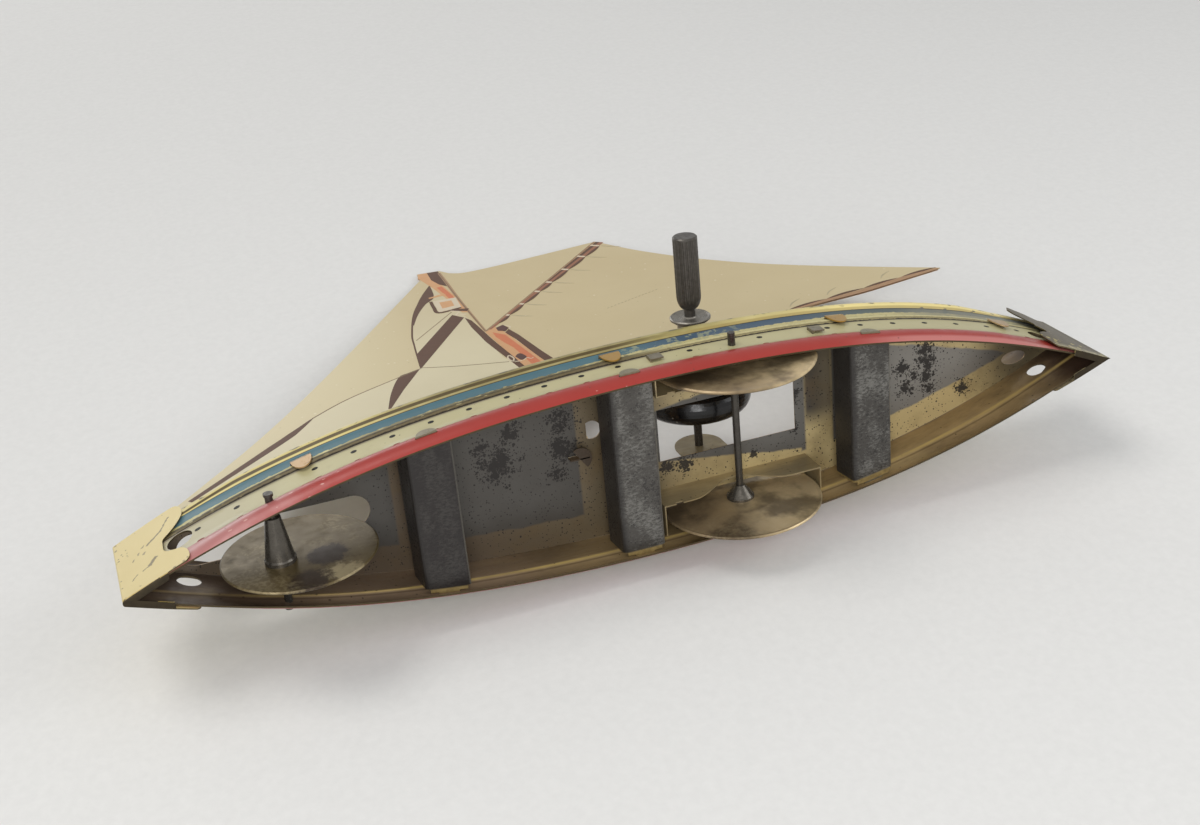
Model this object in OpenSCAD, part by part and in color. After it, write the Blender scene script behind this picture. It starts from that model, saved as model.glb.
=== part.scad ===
// Tin floor-toy sailboat with a hand-spun flywheel drive.
// Millimetres. +X is the bow, +Y is port (the side with the finger grip),
// +Z is up the mast. z = 0 is the floor under the wheels.

/* [Hull] */
// overall length of the hull sides
hull_len = 300; // [240:1:360]
// half beam of the hull's bottom edge amidships
beam_half = 27.5; // [20:0.5:36]
// outward lean of the sides, mm per mm of height
side_lean = 0.072; // [0:0.002:0.12]
// sheet thickness of the hull sides
side_t = 0.5; // [0.3:0.05:1]
// height of the red bottom band amidships
red_h = 7.9; // [5:0.1:11]
// height of the cream band's upper edge amidships
cream_h = 14.6; // [11:0.1:19]
// height of the rail above the bottom edge amidships
rail_h = 26.3; // [20:0.1:34]
// how far the rail rises towards the ends
sheer = 5.3; // [0:0.1:9]
// height of the folded cap over the stem
bow_cap_h = 31; // [26:0.5:36]
// height of the folded cap over the stern
stern_cap_h = 34.5; // [28:0.5:38]
// bulge of the pressed beads
bead = 1.35; // [0.5:0.05:1.6]
// radius of the hawse holes near both ends
hawse_r = 3.2; // [2:0.1:4]

/* [Deck] */
// height of the deck's underside above the bottom edge
deck_h = 19.4; // [16:0.1:21]
// sheet thickness of the deck, braces and brackets
tin_t = 0.4; // [0.3:0.05:0.8]
// length of the flywheel opening
well_len = 45; // [40:1:56]
// width of the flywheel opening
well_w = 17; // [14:0.5:20]

/* [Drive] */
// radius of the two main wheels
wheel_r = 24.6; // [20:0.1:28]
// thickness of the wheel discs
wheel_t = 0.8; // [0.5:0.05:1.2]
// distance of each main wheel inside the hull's half beam
wheel_in = 4.9; // [3.5:0.1:8]
// height of the main axle above the hull's bottom edge
axle_h = 11.3; // [9:0.1:13]
// distance of the main axle behind the middle of the hull
axle_back = 30; // [20:1:40]
// radius of both wheel axles
axle_r = 1.1; // [0.8:0.05:1.6]
// radial running clearance of every shaft in its holes
run_gap = 0.05; // [0.02:0.01:0.1]
// radius of the flywheel spindle
spindle_r = 1.3; // [1:0.05:2]
// distance of the spindle ahead of the main axle
spindle_ahead = 2; // [0:0.5:6]
// radius of the flywheel
fly_r = 17.3; // [12:0.1:20]
// thickness of the flywheel
fly_t = 9; // [5:0.5:11]
// radius of the finger grip
grip_r = 3.75; // [2.5:0.05:5]
// length of the finger grip
grip_len = 23; // [15:0.5:35]

/* [Front wheel] */
// radius of the front wheel
front_r = 21.7; // [18:0.1:23]
// distance of the front axle behind the stem
front_back = 41.7; // [36:0.1:50]
// height of the front axle above the hull's bottom edge
front_h = 5.9; // [4:0.1:8]
// distance of the front wheel's hole from its centre
front_ecc = 6.1; // [0:0.1:7]
// sideways position of the front wheel
front_y = -3; // [-4:0.1:0]

/* [Sail] */
// height of the mast top above the hull's bottom edge
mast_h = 204; // [160:1:240]
// thickness of the printed sail sheet
sail_t = 0.4; // [0.3:0.05:0.6]

/* [Hidden] */
$fn = 64;
// scales of the drawn outlines: along the hull, across it, up its sides, up the
// mast, round the main wheels and round the finger grip
kx = hull_len / 300;
ky = beam_half / 27.5;
kz = rail_h / 26.3;
km = mast_h / 204;
kw = wheel_r / 24.6;
kg = grip_r / 3.75;
edge_z = wheel_r - axle_h;
hl = hull_len / 2;
axle_x = -axle_back;
axle_z = wheel_r;
front_x = hl - front_back;
wheel_y = beam_half - wheel_in;
front_z = edge_z + front_h;
// the wheel is mounted so that all three wheels stand on the floor at rest
ecc_z = front_r - front_z;
ecc_x = -sqrt(front_ecc * front_ecc - ecc_z * ecc_z);
spindle_x = axle_x + spindle_ahead;
drive_c = wheel_r + spindle_r + run_gap;
spindle_z = axle_z + sqrt(drive_c * drive_c - spindle_ahead * spindle_ahead);
deck_z = edge_z + deck_h;
// gap round every tab in its slot
slot_gap = 0.1;
hawse_z = edge_z + 14.7 * kz;
brace_w = 13.4 * kx;
brace_h = 9.5 * kz;
brace_z = edge_z + 3.9 * kz;
brace_tab = 3 * kx;
brace_fold = 1.3 * kx;
brace_splay = 0.9 * kx;
bracket_x = [axle_x + wheel_r + 0.8 * kw, axle_x - wheel_r - 1.2 * kw];
bracket_y = wheel_y - 4.7 * kw;
bracket_lo = edge_z + 8.7 * kz;
bracket_tab_z = edge_z + 10.3 * kz;
bracket_tab_h = 3.6 * kz;
brace_x = [front_x - 44.3 * kx, bracket_x[0] + 9.1 * kx, -71.3 * kx];
tab_x = [96.6 * kx, 5 * kx, -67.4 * kx, -124.2 * kx];
deck_tab = 3.05 * kx;
mast_tab = [14.5 * kx, 20.5 * kx];
stem_tab = [137.5 * kx, 142.5 * kx];
sail_tab_h = 1.2 * kz;
// the front wheel sweeps this far each way at the deck's height
front_sweep = sqrt(pow(front_r + front_ecc, 2) - pow(deck_z - front_z, 2));
front_slot_r = 4.9 * ky;
upright_y = bracket_y - 2.4 * kw;
upright_r = 7.7 * kw;
upright_t = 0.6 * kz;
fly_y = 3 * ky;
dish_y = wheel_y + wheel_t / 2 + 1.3 * kw;
flange_y = dish_y + 2.9 * kg;
neck_y = flange_y + 1.4 * kg;
grip_y = neck_y + 2.4 * kg;
grip_end = grip_y + grip_len;
spindle_end = upright_y + 10.5 * ky;
axle_end = beam_half + 4.1 * ky;
hub_shank = 2 * kw;
reeds = 20;
// the end caps' leaves stand this far outside the wall, over the flattened beads
cap_gap = 0.45;
// width of the caps' bottom edge that is turned in
cap_turn = 2.2 * kx;
stations = 30;

// plan shape of the bottom edge
function uu(x) = x / hl;
function half_beam(x) = let (u = uu(x)) beam_half * (1 - u * u)
  * (1 - 0.0356 * u + 0.3164 * pow(u, 2) + 0.0138 * pow(u, 3) - 0.1818 * pow(u, 4));
function lean(x, h) = let (u = min(1, abs(uu(x)))) side_lean * h * (1 - u * u * u * u);
function slope(x) = half_beam(x + 0.5) - half_beam(x - 0.5);
function ang(x) = atan(slope(x));
// the beads flatten before they reach the end caps
function fade(x) = max(0.3, min(1, 1 - 0.7 * (abs(uu(x)) - 0.767) / 0.096));
// a point on the port side: o is its distance outside the plain wall, h its height
function sp(x, o, h) = let (s = slope(x))
  [x, max(0.06, half_beam(x) + lean(x, h) + o * sqrt(1 + s * s)), edge_z + h];

function red_top(x) = red_h * (1 - 0.139 * uu(x));
function cream_top(x) = let (u = uu(x)) cream_h * (1 - 0.0747 * u) + 0.85 * sheer * u * u;
function rail_top(x) = let (u = uu(x)) rail_h * (1 - 0.073 * u) + sheer * u * u;

// outer face of the pressed side sheet, from the bottom edge to the rail
function outer(x) = let (b = bead * fade(x), r = red_top(x), c = cream_top(x),
    t = rail_top(x))
  [[0, 0], [0.7 * b, 0.25 * r], [b, 0.54 * r], [0.7 * b, 0.84 * r], [0, r],
   [0, c], [0.45 * b, c + 0.5 * kz], [0.45 * b, c + 1.9 * kz], [0.1 * b, c + 2.4 * kz],
   [0.1 * b, t - 4.3 * kz], [0.85 * b, t - 3.1 * kz], [b, t - 2 * kz],
   [0.85 * b, t - 0.9 * kz], [0.2 * b, t]];
function side_ring(x) = let (q = outer(x), n = len(q))
  concat([for (i = [0:n - 1]) sp(x, q[i][0], q[i][1])],
         [for (i = [n - 1:-1:0]) sp(x, q[i][0] - side_t, q[i][1])]);

// closed skin over a row of flat rings, each anticlockwise seen from the last one's end
module skin(rings) {
  n = len(rings[0]);
  m = len(rings);
  polyhedron(
    points = [for (r = rings) for (p = r) p],
    faces = concat(
      [for (i = [0:m - 2]) for (j = [0:n - 1])
        [i * n + j, (i + 1) * n + (j + 1) % n, i * n + (j + 1) % n]],
      [for (i = [0:m - 2]) for (j = [0:n - 1])
        [i * n + j, (i + 1) * n + j, (i + 1) * n + (j + 1) % n]],
      [[for (j = [0:n - 1]) j]],
      [[for (j = [n - 1:-1:0]) (m - 1) * n + j]]),
    convexity = 10);
}

// local frame on the port side at height h: +Y points outward
module on_side(x, o, h) {
  translate(sp(x, o, h)) rotate([0, 0, ang(x)]) children();
}

// the side as it stands to port; hole is the height and radius of its hole at the bow
module side(hole) {
  difference() {
    skin([for (i = [0:stations]) side_ring(-hl + 0.5 + i * (hull_len - 1) / stations)]);
    // axle holes
    translate([axle_x, beam_half / 2, axle_z]) rotate([-90, 0, 0])
      cylinder(r = axle_r + run_gap, h = beam_half + 10);
    translate([front_x, beam_half / 4, front_z]) rotate([-90, 0, 0])
      cylinder(r = axle_r + run_gap, h = beam_half + 10);
    // hawse holes
    translate([hl - 17.2 * kx, 0.5, hole[0]]) rotate([-90, 0, 0])
      cylinder(r = hole[1], h = beam_half);
    translate([-hl + 14.4 * kx, 0.5, hawse_z - kz]) rotate([-90, 0, 0])
      cylinder(r = 0.9 * hawse_r, h = beam_half);
    // slots for the deck tabs
    for (x = tab_x) on_side(x, 0, deck_h - slot_gap)
      translate([-deck_tab - 2 * slot_gap, -4, 0])
        cube([2 * (deck_tab + 2 * slot_gap), 9, tin_t + 2 * slot_gap]);
    // slots for the brace tabs
    for (x = brace_x) on_side(x, 0, brace_z - edge_z - slot_gap)
      translate([-brace_tab - 2 * slot_gap, -4, 0])
        cube([2 * (brace_tab + 2 * slot_gap), 9, tin_t + 2 * slot_gap]);
    // slots for the bracket tabs
    for (x = bracket_x)
      translate([x - tin_t / 2 - slot_gap, bracket_y + 2, bracket_tab_z - slot_gap])
        cube([tin_t + 2 * slot_gap, 16, bracket_tab_h + 2 * slot_gap]);
  }
}

module hull_side_port() { color("gold") side([hawse_z - 1.5 * kz, 1.12 * hawse_r]); }
module hull_side_starboard() {
  color("gold") mirror([0, 1, 0]) side([hawse_z, hawse_r]);
}

// plan of the space inside the hull at height h, kept g clear of the wall
module inside(h, g, x0, x1, n = 50) {
  xs = [for (i = [0:n]) x0 + i * (x1 - x0) / n];
  polygon(concat(
    [for (x = xs) [x, half_beam(x) + lean(x, h) - g]],
    [for (i = [n:-1:0]) [xs[i], -(half_beam(xs[i]) + lean(xs[i], h) - g)]]));
}

// upright slot through the deck, from x0 to x1, centred on y
module deck_cut(x0, x1, y, w) {
  translate([x0, y - w / 2, deck_z - 1]) cube([x1 - x0, w, tin_t + 2]);
}

module deck() {
  end = hl - 3.5 * kx;
  color("silver") {
    difference() {
      translate([0, 0, deck_z]) linear_extrude(height = tin_t)
        inside(deck_h, side_t + 0.06, -end, end, 60);
      // flywheel opening
      deck_cut(spindle_x - 2.6 * kw - well_len / 2, spindle_x - 2.6 * kw + well_len / 2,
        0, well_w);
      // slots for the main wheels
      for (s = [-1, 1]) deck_cut(axle_x - wheel_r - 0.2, axle_x + wheel_r + 0.2,
        s * wheel_y, wheel_t + 1.7);
      // slot for the front wheel
      deck_cut(front_x - front_sweep + kw, front_x + front_sweep - 3.1 * kw,
        -0.2, 2 * front_slot_r);
      for (x = [front_x - front_sweep + kw, front_x + front_sweep - 3.1 * kw])
        translate([x, -0.2, deck_z - 1]) cylinder(r = front_slot_r, h = tin_t + 2);
      // slots for the sail's tabs
      deck_cut(mast_tab[0] - 2 * slot_gap, mast_tab[1] + 2 * slot_gap, 0, sail_t + 0.3);
      deck_cut(stem_tab[0] - 2 * slot_gap, stem_tab[1] + 2 * slot_gap, 0, sail_t + 0.3);
      // D-shaped hole beside the mast
      translate([12.6 * kx, 7.4 * kx, deck_z - 1]) intersection() {
        cylinder(r = 2.9 * kx, h = tin_t + 2);
        translate([-4 * kx, -4 * kx, 0]) cube([5.6 * kx, 8 * kx, tin_t + 2]);
      }
      // oval hole near the stern
      translate([-130.8 * kx, -2.4 * ky, deck_z - 1]) scale([2, 1, 1])
        cylinder(r = 2.2 * ky, h = tin_t + 2);
    }
    // end tabs, pushed through the sides and bent down
    for (s = [0, 1]) mirror([0, s, 0]) for (x = tab_x) {
      on_side(x, 0, deck_h) translate([-deck_tab, -side_t - 1.4, 0])
        cube([2 * deck_tab, side_t + 2.4, tin_t]);
      on_side(x, 0.75, deck_h) intersection() {
        translate([0, tin_t, 0]) rotate([90, 0, 0]) scale([1, 1.85, 1])
          cylinder(r = deck_tab, h = tin_t);
        translate([-2 * deck_tab, -1, -2 * deck_tab])
          cube([4 * deck_tab, 3, 2 * deck_tab + tin_t]);
      }
    }
  }
}

// side-view outline of an end cap, drawn from the hull's end: up, notch and low are how
// far the upper lobe, the notch and the lower lobe reach along the side, droop is how far
// the upper lobe's corner hangs, and deep is how much that lobe is stretched downward
module cap_outline(top, up, notch, low, droop, deep) {
  polygon([[6, -1.4], [6, top], [-5, top], [5 - up, top + 0.2 - droop],
    [2 - up, top - droop], [0.6 - up, top - droop - 1.6 * deep], [-up, top - 4 * deep],
    [0.3 - up, top - 6.6 * deep], [1.6 - up, top - 9 * deep],
    [3.6 - up, top - 11.4 * deep], [-1.6 - notch, top - 12.9 * deep],
    [-0.3 - notch, top - 14.2 * deep], [-notch, top - 9.6 - 7.1 * deep],
    [-notch, top - 19.8], [-1 - notch, top - 21.4],
    [3.5 - low, top - 22.4], [1.6 - low, top - 23.6], [0.4 - low, top - 25.6],
    [-low, top - 28], [0.2 - low, 0.9], [1.2 - low, -0.2], [7 - low, -0.7]]);
}
// half width of a leaf's plan, o outside the wall; end is 1 at the bow and -1 at the stern
function leaf(x, o, h, spring, end) = let (s = slope(end * x),
    f = spring * max(0, min(1, (hl - 0.5 - x) / (13 * kx))) * (0.3 + 0.02 * h))
  half_beam(end * x) + lean(x, h) + (o + f) * sqrt(1 + s * s);
// the fold over the stem is blunt, and the one over the stern is sharp
function nose(o, end) = let (s = abs(slope(end * hl)))
  hl + (end > 0 ? o - cap_gap + 0.1 : o * sqrt(1 + s * s) / s);
// plan of the two leaves that meet at the end of the hull, at height h
function cap_ring(h, port, star, end) = let (n = 12, a = cap_gap, b = cap_gap + tin_t,
    x0 = hl - 23 * kx, xs = [for (i = [0:n]) x0 + i * (hl - x0) / n])
  concat(
    [for (x = xs) [x, -leaf(x, b, h, star, end), edge_z + h]],
    [[nose(b, end), 0, edge_z + h]],
    [for (i = [n:-1:0]) [xs[i], leaf(xs[i], b, h, port, end), edge_z + h]],
    [for (x = xs) [x, leaf(x, a, h, port, end), edge_z + h]],
    [[nose(a, end), 0, edge_z + h]],
    [for (i = [n:-1:0]) [xs[i], -leaf(xs[i], a, h, star, end), edge_z + h]]);
// plan of the bottom edge that is turned in under the hull's sides, from x0 to the nose
module turned_edge(x0, port, star, end) {
  n = 8;
  b = cap_gap + tin_t / 2;
  a = cap_gap - cap_turn;
  out = [for (i = [0:n]) x0 + i * (hl - x0) / n];
  in = [for (i = [0:n]) x0 + i * (hl - 5.5 * kx - x0) / n];
  polygon(concat(
    [for (x = out) [x, -leaf(x, b, -1, star, end)]], [[nose(b, end), 0]],
    [for (i = [n:-1:0]) [out[i], leaf(out[i], b, -1, port, end)]],
    [for (x = in) [x, leaf(x, a, -1, port, end)]], [[hl - 4.6 * kx, 0]],
    [for (i = [n:-1:0]) [in[i], -leaf(in[i], a, -1, star, end)]]));
}
module cap(top, up, notch, low, droop, deep, port, star, end) {
  intersection() {
    skin([cap_ring(-3, port, star, end), cap_ring(42 * kz, port, star, end)]);
    translate([hl, 40 * ky, edge_z]) rotate([90, 0, 0]) linear_extrude(height = 80 * ky)
      scale([kx, kz]) cap_outline(top / kz, up, notch, low, droop, deep);
  }
  // bottom edge turned in under the hull's sides
  translate([0, 0, edge_z - 0.93 * kz]) linear_extrude(height = tin_t)
    turned_edge(hl - (low - 6) * kx, port, star, end);
}
module bow_cap() { color("khaki") cap(bow_cap_h, 19.6, 12.6, 18.7, 0, 1, 0, 0, 1); }
module stern_cap() {
  color("gray") mirror([1, 0, 0]) cap(stern_cap_h, 15, 10.3, 16.8, 1.8, 1.25, 2.1, 0, -1);
}

// end view of the braces' channel, with rounded folds of radius r and splayed flanges,
// g inside its outer face
module channel(g, r) {
  w = brace_w / 2 - g;
  top = w + brace_splay;
  polygon(concat([[-top, brace_h + 1]],
    [for (t = [180:22.5:270]) [r - w + r * cos(t), g + r + r * sin(t)]],
    [for (t = [270:22.5:360]) [w - r + r * cos(t), g + r + r * sin(t)]],
    [[top, brace_h + 1]]));
}
// channel-shaped brace across the bottom
module brace(x) {
  wide = 2 * beam_half + 25;
  color("dimgray") {
    intersection() {
      translate([x, wide / 2, brace_z]) rotate([90, 0, 0])
        linear_extrude(height = wide) difference() {
          channel(0, brace_fold);
          channel(tin_t, brace_fold - tin_t);
          translate([-brace_w, brace_h]) square([2 * brace_w, 2]);
        }
      translate([0, 0, brace_z - 1]) linear_extrude(height = brace_h + 2)
        inside(4, side_t + 0.06, x - brace_w, x + brace_w, 8);
    }
    // the face reaches on into the hollow of the red bead
    intersection() {
      translate([x - brace_w / 2 + brace_fold, -wide / 2, brace_z])
        cube([brace_w - 2 * brace_fold, wide, tin_t]);
      translate([0, 0, brace_z - 1]) linear_extrude(height = 2 + tin_t)
        inside(4, side_t + 0.1 - 0.8 * bead, x - brace_w, x + brace_w, 8);
    }
    for (s = [0, 1]) mirror([0, s, 0]) {
      on_side(x, 0, brace_z - edge_z) translate([-brace_tab, -side_t - 1.6, 0])
        cube([2 * brace_tab, side_t + 3.5, tin_t]);
      on_side(x, bead + 0.1, brace_z - edge_z) intersection() {
        translate([0, tin_t, 0]) rotate([90, 0, 0]) cylinder(r = brace_tab, h = tin_t);
        translate([-brace_tab - 1, -1, 0]) cube([2 * brace_tab + 2, 3, brace_tab + 1]);
      }
    }
  }
}
module brace_fore() { brace(brace_x[0]); }
module brace_mid() { brace(brace_x[1]); }
module brace_aft() { brace(brace_x[2]); }

// wheel housing: a plate beside the wheel with both ends folded out to the hull
module bracket() {
  x1 = bracket_x[0] + tin_t / 2;
  x0 = bracket_x[1] - tin_t / 2;
  color("darkkhaki") {
    // plate with a notch and an arch over the axle
    translate([0, bracket_y + tin_t / 2, 0]) rotate([90, 0, 0])
      linear_extrude(height = tin_t)
        polygon(concat(
          [[x1, deck_z], [x1, bracket_lo], [axle_x + 21.8 * kw, bracket_lo],
           [axle_x + 21.8 * kw, bracket_lo + 1], [axle_x + 19.4 * kw, bracket_lo + 1],
           [axle_x + 19.4 * kw, bracket_lo]],
          [for (t = [90:-12:-90]) [axle_x + 0.18 * t * kw,
            bracket_lo + 7.8 * kz * pow(cos(t), 2)]],
          [[x0, bracket_lo], [x0, deck_z]]));
    // folded ends
    intersection() {
      for (x = bracket_x) translate([x - tin_t / 2, bracket_y, bracket_lo])
        cube([tin_t, beam_half, deck_z - bracket_lo]);
      translate([0, 0, bracket_lo - 1]) linear_extrude(height = deck_h)
        inside(10, side_t + 0.06, x0 - 6, x1 + 6, 12);
    }
    // tabs through the hull side, bent aft
    for (x = bracket_x) {
      y = half_beam(x) + lean(x, 12);
      translate([x - tin_t / 2, y - 1.6, bracket_tab_z])
        cube([tin_t, 2.6, bracket_tab_h]);
      translate([x + tin_t / 2, y + 0.5, bracket_tab_z]) rotate([0, 0, 180 + ang(x)])
        translate([0, -tin_t, 0]) cube([4 * kx, tin_t, bracket_tab_h]);
    }
  }
}
module wheel_bracket_port() { bracket(); }
module wheel_bracket_starboard() { mirror([0, 1, 0]) bracket(); }

// round-topped plate that carries the flywheel spindle, with a foot on the deck
module upright() {
  base = deck_z + tin_t;
  color("darkkhaki") difference() {
    union() {
      translate([spindle_x, upright_y + upright_t / 2, spindle_z]) rotate([90, 0, 0])
        cylinder(r = upright_r, h = upright_t);
      translate([spindle_x - upright_r, upright_y - upright_t / 2, base])
        cube([2 * upright_r, upright_t, spindle_z - base]);
      translate([spindle_x - upright_r, upright_y - upright_t / 2, base])
        cube([2 * upright_r, 4.2 * ky, upright_t]);
    }
    translate([spindle_x, upright_y - 3, spindle_z]) rotate([-90, 0, 0])
      cylinder(r = spindle_r + run_gap, h = 6);
  }
}
module upright_port() { upright(); }
module upright_starboard() { mirror([0, 1, 0]) upright(); }

// sail sheet in the middle plane, cut from one piece with its mast foot and tabs
module sail() {
  top = deck_h + tin_t;
  tab = deck_h - sail_tab_h;
  outline = concat(
    // jib edge, mast top and the gaff's scalloped edge
    [[145.5, 31.8], [130, 49], [123, 56.8], [104, 78.6], [84.6, 103.6], [63, 134],
     [42, 164.5], [20.2, 196.4], [19.6, 204], [10.8, 203], [8, 198], [2.5, 195.2],
     [-10, 195.4], [-22.8, 196.7], [-54, 200.2]],
    // after edge of the mainsail
    [[-63.5, 182], [-74, 166.2], [-80.8, 157.4], [-95, 142], [-110, 128.6],
     [-130, 113], [-151.2, 97.4]],
    // boom and the mast's lower part
    [[-134, 94.6], [-117.5, 92.3], [-97.5, 89.9], [-86.8, 88.8], [-45, 84.6],
     [5, 79.5], [7, 76], [8, 60], [11, 26]]);
  foot = [[23, 40], [27, 50], [34, 53.5], [80, 44.5], [120, 36], [134, 32]];
  color("wheat") {
    translate([0, sail_t / 2, edge_z]) rotate([90, 0, 0])
      linear_extrude(height = sail_t)
        polygon(concat(
          [for (p = outline) [p[0] * kx, p[1] * km]],
          [[mast_tab[0] - 2.5 * kx, top], [mast_tab[0], top], [mast_tab[0], tab],
           [mast_tab[1], tab], [mast_tab[1], top], [mast_tab[1] + 1.5 * kx, top]],
          [for (p = foot) [p[0] * kx, p[1] * km]],
          [[stem_tab[0], 29 * km], [stem_tab[0], tab], [stem_tab[1], tab],
           [stem_tab[1], 28 * km]]));
    // mast foot tab turned flat against the deck's underside
    translate([17.5 * kx, 0, edge_z + tab]) rotate([0, 0, 56]) intersection() {
      cylinder(r = 3.6 * kx, h = tin_t);
      translate([-4 * kx, -sail_t / 2, 0]) cube([8 * kx, 5 * kx, 1]);
    }
  }
}

module along_y(x, z) { translate([x, 0, z]) rotate([-90, 0, 0]) children(); }

module main_axle() {
  color("dimgray") along_y(axle_x, axle_z) translate([0, 0, -axle_end])
    cylinder(r = axle_r, h = 2 * axle_end);
}
// dished disc with a beaded rim; the rim stands a little outboard of the middle
module disc(r, bore) {
  a = wheel_t / 2;
  rotate_extrude($fn = 96)
    polygon([[bore, -a], [0.42 * r, -a], [r - 1.2 * kw, 0.7 * kw - a],
      [r - 0.3 * kw, 0.55 * kw - a], [r, 0.85 * kw - a], [r, a + 0.35 * kw],
      [r - 0.5 * kw, a + 0.7 * kw], [r - 1.6 * kw, a + 0.7 * kw], [0.42 * r, a], [bore, a]]);
}
module main_wheel_port() {
  color("tan") along_y(axle_x, axle_z) translate([0, 0, wheel_y])
    disc(wheel_r, hub_shank);
}
module main_wheel_starboard() { mirror([0, 1, 0]) main_wheel_port(); }
// turned cone hub; its shank passes through the disc and is riveted over
module hub(len, base_r, top_r) {
  a = wheel_t / 2;
  rotate_extrude()
    polygon([[axle_r, a + 0.5 * kw], [1.35 * hub_shank, a + 0.5 * kw],
      [1.35 * hub_shank, a], [hub_shank, a], [hub_shank, -a], [base_r, -a],
      [base_r, -a - 0.7 * kw], [base_r - 0.35 * kw, -a - 1.1 * kw],
      [top_r, -a - len], [axle_r, -a - len]]);
}
module main_hub_port() {
  color("silver") along_y(axle_x, axle_z) translate([0, 0, wheel_y])
    hub(4.2 * kw, 4.2 * kw, 1.6 * kw);
}
module main_hub_starboard() { mirror([0, 1, 0]) main_hub_port(); }

module front_axle() {
  wall = half_beam(front_x) + lean(front_x, front_h) + bead;
  e0 = wall + 0.6 * kx;
  e1 = wall + 1.2 * kx;
  head_r = 1.25 * axle_r;
  head = 0.8 * kx;
  color("dimgray") along_y(front_x, front_z)
    rotate_extrude()
      polygon([[0, -e0 - head], [head_r, -e0 - head], [head_r, -e0], [axle_r, -e0],
        [axle_r, e1], [head_r, e1], [head_r, e1 + head], [0, e1 + head]]);
}
module front_wheel() {
  a = wheel_t / 2;
  color("tan") translate([0, front_y, 0]) difference() {
    along_y(front_x + ecc_x, front_z + ecc_z)
      rotate_extrude($fn = 96)
        polygon([[0, -a], [front_r - 0.4, -a], [front_r, 0.3 - a],
          [front_r, a - 0.3], [front_r - 0.4, a], [0, a]]);
    along_y(front_x, front_z) translate([0, 0, -2]) cylinder(r = hub_shank, h = 4);
  }
}
// the tall port cone carries the shank, the short starboard one sits against the disc
module front_hub_port() {
  a = wheel_t / 2;
  color("silver") along_y(front_x, front_z) translate([0, 0, front_y])
    rotate_extrude()
      polygon([[axle_r, -a - 0.4], [hub_shank, -a - 0.4], [hub_shank, a], [4.4 * kw, a],
        [4.4 * kw, a + kw], [4.05 * kw, a + 1.5 * kw], [2.2 * kw, a + 13.5 * kw],
        [axle_r, a + 13.5 * kw]]);
}
module front_hub_starboard() {
  a = wheel_t / 2;
  color("silver") along_y(front_x, front_z) translate([0, 0, front_y])
    rotate_extrude()
      polygon([[hub_shank, -a], [4 * kw, -a], [4 * kw, -a - kw],
        [3.7 * kw, -a - 1.4 * kw], [2.1 * kw, -a - 8 * kw], [axle_r, -a - 8 * kw],
        [axle_r, -a - 0.4], [hub_shank, -a - 0.4]]);
}

// solid disc with a domed rim, a sunk web on both faces and a boss
module flywheel() {
  a = fly_t / 2;
  boss = 3 * spindle_r;
  dome = 0.7 * a;
  web = fly_r - dome - 2.2 * kw;
  color("black") along_y(spindle_x, spindle_z) translate([0, 0, fly_y])
    rotate_extrude($fn = 96)
      polygon(concat(
        [[spindle_r, -a - 1.2 * kw], [boss - 0.3, -a - 1.2 * kw], [boss, -a - 0.9 * kw],
         [boss, 0.9 * kw - a], [web, 0.9 * kw - a], [web + 0.8 * kw, 0.2 * kw - a]],
        [for (t = [-90:15:90]) [fly_r - dome + dome * cos(t), a * sin(t)]],
        [[web + 0.8 * kw, a - 0.2 * kw], [web, a - 0.9 * kw], [boss, a - 0.9 * kw],
         [boss, a + 0.9 * kw], [boss - 0.3, a + 1.2 * kw], [spindle_r, a + 1.2 * kw]]));
}
module flywheel_spindle() {
  color("dimgray") along_y(spindle_x, spindle_z) translate([0, 0, -spindle_end])
    cylinder(r = spindle_r, h = spindle_end + grip_y + 14 * kg);
}
// collar with a dished flange and a neck
module grip_dish() {
  color("dimgray") along_y(spindle_x, spindle_z) rotate_extrude()
    polygon(concat([[spindle_r, dish_y], [3.6 * kg, dish_y], [4.1 * kg, dish_y + 0.5 * kg]],
      [for (p = [[4.1, -0.6], [5.6, 0], [6.25, 0.5], [6.25, 1], [5.9, 1.3], [5.3, 1],
        [3.4, 0.6], [2.2, 1], [1.9, 1.4]]) [p[0] * kg, flange_y + p[1] * kg]],
      [[spindle_r, neck_y]]));
}
// reeded finger grip with a rounded inner end
module spin_grip() {
  neck = 1.7 * kg;
  round = 4.2 * kg;
  color("dimgray") along_y(spindle_x, spindle_z) difference() {
    rotate_extrude()
      polygon(concat(
        [[0, grip_end - 0.25], [0, grip_end], [grip_r - 0.4, grip_end],
         [grip_r, grip_end - 0.4]],
        [for (t = [0:15:75]) [neck + (grip_r - neck) * cos(t),
          grip_y + round - round * sin(t)]],
        [[neck, grip_y], [neck, neck_y], [0, neck_y]]));
    // blind hole for the spindle
    translate([0, 0, neck_y - 1]) cylinder(r = spindle_r, h = grip_y + 15 * kg - neck_y);
    // reeds
    for (i = [0:reeds - 1]) rotate([0, 0, i * 360 / reeds])
      translate([grip_r + 0.12, 0, grip_y + 2.4 * kg])
        cylinder(r = 0.36, h = grip_len - 3.2 * kg, $fn = 16);
  }
}

hull_side_port();
hull_side_starboard();
deck();
bow_cap();
stern_cap();
brace_fore();
brace_mid();
brace_aft();
wheel_bracket_port();
wheel_bracket_starboard();
upright_port();
upright_starboard();
sail();
main_axle();
main_wheel_port();
main_wheel_starboard();
main_hub_port();
main_hub_starboard();
front_axle();
front_wheel();
front_hub_port();
front_hub_starboard();
flywheel();
flywheel_spindle();
grip_dish();
spin_grip();
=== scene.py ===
"""Looks of the tin toy sailboat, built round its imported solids.

Lengths in the tables and formulas below are millimetres in the part's frame: +X is the
bow, +Y is port, +Z is up the mast, and a height h is counted from the hull's bottom edge.
"""

from math import atan, cos, hypot, pi, radians, sin, sqrt

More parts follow.
